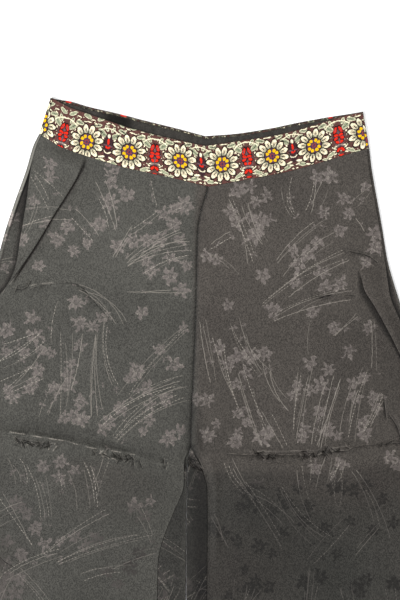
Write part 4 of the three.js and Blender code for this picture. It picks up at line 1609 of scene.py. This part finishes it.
# each oval: middle, half-sizes, turn in degrees
LEAVES = [
    ((9.6, 33.2), (5.6, 2.5), 38), ((16.2, 38.4), (4.6, 1.9), -12), ((6.6, 38.4), (3.4, 1.5), 62),
    ((43.6, 33), (5.4, 2.4), -34), ((37.2, 39.4), (4.2, 1.6), 14), ((47.4, 38.6), (3, 1.4), -58),
    ((10.8, 5), (4.4, 1.7), -24), ((43.2, 4.4), (4.6, 1.8), 22), ((17.4, 1.6), (3, 1), 8),
    ((6, 46), (4.4, 1.8), 24), ((24, 46.5), (4.6, 1.8), -18), ((40, 47), (4.4, 1.8), 30),
]
SLASHES = [
    ((6.8, 10.8), (2.7, 0.65), 36), ((7.2, 7.6), (2.5, 0.6), 8), ((6, 4.4), (2.2, 0.6), -18),
    ((24.6, 40.6), (4.6, 0.6), 4), ((46.2, 9), (4, 1), 14), ((47.5, 5.4), (2.6, 0.7), -8),
    ((34.6, 40.8), (2.4, 0.6), -20), ((14, 41), (2.2, 0.55), 18), ((33.4, 1.2), (2.6, 0.6), 6),
    ((3.2, 12.6), (3.2, 0.75), -12), ((9, 27), (1.5, 0.7), 60), ((44.6, 28), (1.6, 0.8), -60),
    ((24, -1), (2.6, 0.6), -6), ((47, 23.4), (0.8, 0.8), 0), ((46.8, 18.2), (0.7, 0.7), 0),
    ((36.5, 2.2), (2.6, 0.7), 24), ((12.4, 0.9), (2.4, 0.6), -10), ((48.8, 1.6), (1.6, 0.6), 0),
    ((10, 23.6), (1.4, 0.6), 20), ((9.6, 17.4), (1.6, 0.6), -30), ((12, 30), (1.2, 0.6), 70),
    ((31, 43.6), (2.6, 0.6), 8), ((14.5, 44.4), (2.8, 0.6), -14), ((48, 44), (2.4, 0.6), 20),
]
TALL_REDS = [
    ((2.9, 29.8), (3.7, 1.55), -67), ((2.6, 23.8), (2.5, 1.7), 20), ((3.5, 20.6), (2.3, 1.5), -20),
    ((2.2, 16.4), (2.1, 1.5), 30), ((2.2, 7.9), (2.6, 1.45), -50), ((0, 1.9), (3, 0.7), 0),
]
TALL_DARKS = [
    ((3, 29.6), (2, 0.4), -67), ((0, 26.4), (1, 1.4), 0), ((3, 22.2), (2.6, 0.35), 0),
    ((0.2, 17.6), (0.6, 3), 0),
]

# %% Daisy group


def daisy_group():
    outputs = [("Colour", COLOUR), ("Cover", VALUE)]
    group, (x, y), give = new_group("daisy", [("X", VALUE), ("Y", VALUE)], outputs)
    radius = (x * x + y * y).math("SQRT")
    angle = y.math("ARCTAN2", x)
    sector = ROUND_TURN / 12
    local = abs((angle / sector).math("FRACT") - 0.5) * sector
    px, py = radius * local.math("COSINE"), radius * local.math("SINE")
    petal = oval(px, py, (13.5, 0), (4.5, 2.7))
    stroke = oval(px, py, (12.2, 0), (3, 0.6))
    blush = oval(px, py, (10, 1.5), (1.6, 0.8), 20)
    vein = oval(px, py, (13, 1.35), (2.3, 0.34), 6)
    quarter = ROUND_TURN / 4
    turned = abs(((angle / quarter).math("FRACT") - 0.5) * quarter)
    qx, qy = radius * turned.math("COSINE"), radius * turned.math("SINE")
    gold = oval(qx, qy, (5.5, 1.95), (1.85, 1.75), 20).fall(1, 0.2)
    speck = oval(qx, qy, (1.9, 0.7), (0.8, 0.5), 0).fall(1, 0.3)
    colour = paint(DARK, CREAM, petal.fall(1, 0.08))
    colour = paint(colour, "#757763", blush.fall(1, 0.3) * 0.8)
    colour = paint(colour, "#6e4e36", vein.fall(1, 0.4) * 0.8)
    colour = paint(colour, DARK, stroke.fall(1, 0.25))
    colour = paint(colour, PLUM, radius.fall(9.1, 0.3))
    colour = paint(colour, DARK, abs(radius - 8.6).fall(0.5, 0.25))
    colour = paint(colour, PURPLE, radius.fall(7.9, 0.3))
    colour = paint(colour, YELLOW, both(gold, radius.fall(8, 0.2)))
    colour = paint(colour, "#8c3826", speck)
    give(Colour=colour, Cover=either(petal.fall(OUTLINE, 0.08), radius.fall(9.4, 0.2)))
    return group


DAISY = daisy_group()


def scatter(colour, x, y, shapes, over, outline=None):
    """Paints a list of ovals, with an outline of another colour under them if one is given."""
    for at, size, turn in shapes:
        distance = oval(x, y, at, size, turn)
        if outline:
            colour = paint(colour, outline, distance.fall(OUTLINE + 0.1, 0.15))
        colour = paint(colour, over, distance.fall(1, 0.12))
    return colour


# %% Colours of the ribbon
THREAD_STEP = 0.42


def stepped(value):
    return (value / THREAD_STEP).math("FLOOR") * THREAD_STEP


def ribbon_colour(tree, along, up, edge):
    wobble = noise(join(along, up), 0.5, 3.0) - 0.5
    wobble_too = noise(join(along, up, 7.0), 0.5, 3.0) - 0.5
    q = stepped(along + wobble * 2.2)
    v = stepped(up + wobble_too * 2.2)
    away = abs(((q - TALL_BLOSSOM_AT) / REPEAT + 0.5).math("FRACT") - 0.5) * REPEAT
    from_small = REPEAT / 2 - away
    bits = tree.nodes.new("ShaderNodeTexVoronoi")
    bits.inputs["Scale"].default_value = 0.34
    bits.inputs["Randomness"].default_value = 0.8
    tree.links.new(join(q * 1.25, v).socket, bits.inputs["Vector"])
    dots = Wire(bits.outputs["Distance"]).fall(0.22, 0.05)
    colour = paint(PLUM, CREAM, dots * 0.75)
    for grow, paint_of_leaf in ((0.9, DARK), (0.3, CREAM), (-0.2, SAGE)):
        grown = [(at, (size[0] + grow, size[1] + grow), turn) for at, size, turn in LEAVES]
        colour = scatter(colour, away, v, grown, paint_of_leaf)
    veins = [(at, (size[0] * 0.8, 0.3), turn) for at, size, turn in LEAVES[:6]]
    colour = scatter(colour, away, v, veins, DARK)
    colour = paint(colour, CREAM, both(ring(away, v, (0, 21), 18.6, 0.55), v.rise(32, 1)))
    colour = paint(colour, CREAM, both(ring(from_small, v, (0, 24), 15.2, 0.5), v.rise(35.5, 1)))
    colour = scatter(colour, away, v, SLASHES, CREAM, DARK)
    colour = paint(colour, MAUVE, oval(away, v, (0, 22), (6.6, 11.8)).fall(1, 0.1) * 0.8)
    colour = scatter(colour, away, v, TALL_REDS, RED, DARK)
    colour = scatter(colour, away, v, TALL_DARKS, MAUVE)
    colour = paint(colour, "#301c1f", oval(from_small, v, (0, 21.5), (5, 13.6)).fall(1, 0.08))
    colour = scatter(colour, from_small, v, [((2.6, 21.5), (0.7, 2.2), 90), ((3, 14.5), (1, 0.7), 30)], MAUVE)
    colour = paint(colour, CREAM, oval(from_small, v, (0, 31.4), (1.5, 2.2)).fall(1, 0.2))
    colour = paint(colour, RED, oval(from_small, v, (0, 25.4), (1.15, 3.3)).fall(1, 0.2))
    colour = paint(colour, RED, oval(from_small, v, (1.05, 19.4), (1.7, 1), 40).fall(1, 0.2))
    smile = both(ring(from_small, v, (0, 17.6), 4, 0.5), v.fall(16, 0.3))
    colour = paint(colour, CREAM, smile)
    daisy = use_group(tree, DAISY, X=away - DAISY_AT[0], Y=v - DAISY_AT[1])
    colour = paint(colour, daisy["Colour"], daisy["Cover"])
    worn = noise(join(along * 0.4, up * 0.5), 1.0, 2.0).fall(0.56, 0.06) * 0.75 + 0.15
    colour = paint(colour, "#2c2a25", both(edge.rise(RIBBON_WIDTH - 0.7, 0.3), worn))
    red_part = both(edge.rise(RIBBON_WIDTH + 1, 0.3), noise(join(along * 0.06, 5.0), 1.0).rise(0.63, 0.02))
    return paint(colour, RED, red_part * 0.8)


# %% Ribbon material


def ribbon_material():
    material, tree, shader = new_material("woven border ribbon")
    place = attribute(tree, "place")
    along, up, edge = split(place)
    threads = use_group(tree, THREADS, Place=place, Pitch=0.84)
    colour = shade(ribbon_colour(tree, along, up, edge), threads["Mottle"] * 0.6 + 0.68)
    tree.links.new(colour.socket, shader.inputs["Base Color"])
    shader.inputs["Roughness"].default_value = 0.75
    shader.inputs["Specular IOR Level"].default_value = 0.12
    bump(tree, threads["Height"], 0.6, 0.00015, shader)
    return material


ribbon = ribbon_material()

# %% [markdown]
# ## The facing
# Inside the back band a plain charcoal strip keeps the ribbon off the skin. A painted shadow of the
# front band darkens it, deepest at one place on the left, and painted light and shade show a soft unevenness.

# %% Facing material
# Painted shadow of the front band: where it is darkest, its half-width and blur
FACING_DARKEST = -99
DARK_HALF, DARK_BLUR = 16, 9


def facing_material():
    material, tree, shader = new_material("plain charcoal facing")
    threads = use_group(tree, THREADS, Place=attribute(tree, "place"), Pitch=1.1)
    along, _, _ = split(attribute(tree, "place"))
    painted_shadow = abs(along - FACING_DARKEST).fall(DARK_HALF, DARK_BLUR)
    # Painted light and shade of a soft unevenness along the strip
    uneven_shading = noise(join(along * 0.09, 0.0), 1.0, 2.0)
    mottle = threads["Mottle"] * 0.7 + 0.65
    colour = shade("#302e2b", mottle * (1 - painted_shadow * 0.75) * (uneven_shading * 1.2 + 0.4))
    tree.links.new(colour.socket, shader.inputs["Base Color"])
    shader.inputs["Roughness"].default_value = 0.85
    shader.inputs["Specular IOR Level"].default_value = 0.1
    bump(tree, threads["Height"], 0.6, 0.00015, shader)
    return material


facing = facing_material()

# %% [markdown]
# ## Make the leg panels
# Each panel now becomes a cloth wall with its pattern, its painted light and shade, and its material. All
# four are cut from one cloth, so they share one material, and only their stored places differ.

# %% Leg panels
pieces = {}
for seed, (name, panel) in enumerate(panels.items()):
    measure = cloth_measure(panel)
    parts = (back_pattern if panel.behind else front_pattern)(panel, measure, 20 + seed)
    flat_place = np.concatenate([measure, np.zeros((*measure.shape[:2], 1))], 2)
    at_points = {"place": flat_place, "lustre": lustre(panel)}
    piece = cloth_wall("jacquard_" + name, panel.points, CLOTH_THICKNESS, at_points, parts)
    piece.data.materials.append(jacquard)
    pieces[name] = piece
    print(piece.name, len(piece.data.polygons), "faces")

# %% [markdown]
# ## The waistband
# The front band lies over the facing of the back band. The back band goes flat under everything,
# turns up round both side folds and shows as a narrow strip beside the front band, and as a thin
# rim over the top edge of its own facing.

# %% Where the band lies


def band_turn(up):
    return CREASE + ((BAND_HEIGHT - LOWER) / 2 - CREASE) * np.minimum(up / BAND_RISE_AT, 1)


def band_place(along, up, height, behind):
    """A point of the band: along from its centre V, up its width from 0 to 1."""
    place = 0
    for side in (LEFT, RIGHT):
        waist = side["waist"]
        out = abs(along) / BAND_HALF
        low, top = curve(waist, "out", "low")(out), curve(waist, "out", "top")(out)
        lift = behind * curve(waist, "out", "behind", within=True)(out)
        centre = CENTRE_LOW + (CENTRE_TOP - CENTRE_LOW) * up
        end = side["sign"] * (side["end_low"] + (side["end_top"] - side["end_low"]) * up)
        x = centre + (end - centre) * out
        y = low + (top - low) * up + lift
        mine = (along < 0) == (side["sign"] < 0)
        place = place + np.stack([x, y, height], 2) * mine[..., None]
    return place


# The ribbon is wider than the band: towards the left end more of it is turned in along the seam
RIBBON_DRIFT = {
    "around": [-176, -160, -116, -68, -15, 130, 176],
    "up": [10.5, 9.5, 5, 2.8, 0, 0.3, 2.2],
    "along": [-8, -4, 0, 0, 0, 0, 0],
}
drift = curve(RIBBON_DRIFT, "around", "up", within=True)
stretch = curve(RIBBON_DRIFT, "around", "along", within=True)

# %% Sections of the bands and the facing
BAND_UP_STATIONS = 22
FACING_UP_STATIONS = 12
BAND_STATIONS = 240
FACING_FROM = 0.36
FACING_TO = 0.93


def front_band():
    up = np.linspace(0, 1, BAND_UP_STATIONS)
    half = BAND_HALF - BAND_STRIP - SEAM_GAP / 2
    height = LOWER + 2 * band_turn(up)
    walk = Walk(np.full_like(up, -half), height, None).to(np.full_like(up, half), height, BAND_STATIONS)
    return up, *walk.columns()


def back_band():
    up = np.linspace(0, 1, BAND_UP_STATIONS)
    turn = band_turn(up)
    height, low = LOWER + 2 * turn, np.full_like(up, LOWER)
    strip = np.full_like(up, BAND_HALF - BAND_STRIP + SEAM_GAP / 2)
    round_at = BAND_HALF - WALL / 2 - turn
    walk = Walk(strip, height, np.zeros_like(up)).to(round_at, height, 3)
    walk.bend(-math.pi, turn).to(-round_at, low, BAND_STATIONS)
    walk.bend(-math.pi, turn).to(-strip, height, 3)
    return up, *walk.columns()


def facing_strip():
    up = np.linspace(FACING_FROM, FACING_TO, FACING_UP_STATIONS)
    half = BAND_HALF - BAND_STRIP
    height = np.full_like(up, FACING_HEIGHT)
    walk = Walk(np.full_like(up, -half), height, None).to(np.full_like(up, half), height, BAND_STATIONS)
    return up, *walk.columns()


# %% Bands and facing
RIBBON_THICKNESS = 0.9
RIM_TURNED = 2.6
FRONT_RIPPLE = 0.25


def band_piece(name, section, behind, material, ripple=0):
    up, across, height = section()
    points = band_place(across, up[:, None] + 0 * across, height, behind)
    step = np.hypot(np.diff(across, axis=1), np.diff(height, axis=1))
    along = np.concatenate([np.zeros((len(up), 1)), np.cumsum(step, axis=1)], axis=1)
    around = along - along[:, -1:] / 2
    edge = RIBBON_WIDTH * up[:, None] + 0 * around
    place = np.stack([around + stretch(around), edge + drift(around), edge + RIM_TURNED * behind], 2)
    wave = np.sin(around / 19) * np.sin(around / 7.3 + 4 * up[:, None])
    points[..., 2] += ripple * wave * ease(points[..., 2], LOWER, UPPER)
    piece = cloth_wall(name, points, RIBBON_THICKNESS, {"place": place}, {})
    piece.data.materials.append(material)
    print(piece.name, len(piece.data.polygons), "faces")
    return piece


bands = {
    "waistband_front": band_piece("ribbon_band_front", front_band, 0, ribbon, FRONT_RIPPLE),
    "waistband_back": band_piece("ribbon_band_back", back_band, 1, ribbon),
    "waistband_back_facing": band_piece("band_facing", facing_strip, 1, facing),
}

# %% [markdown]
# ## Tie the cloth to the part
# Every piece rides on the one body, stands for its solid, names its finish, and says how large the
# cloth was when it was cut. A leg panel is cut as a long flared shape, so its area is less than the
# rectangle round it.

# %% Ride, replace and declare, in metres
PANEL_CUTS = {
    "front_left": (0.345, 1.062, 0.292),
    "front_right": (0.345, 1.046, 0.29),
    "back_left": (0.37, 1.075, 0.31),
    "back_right": (0.37, 1.06, 0.31),
}
for name, piece in {**pieces, **bands}.items():
    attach(piece, "root")
    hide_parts(name)
for name, piece in pieces.items():
    width, length, area = PANEL_CUTS[name]
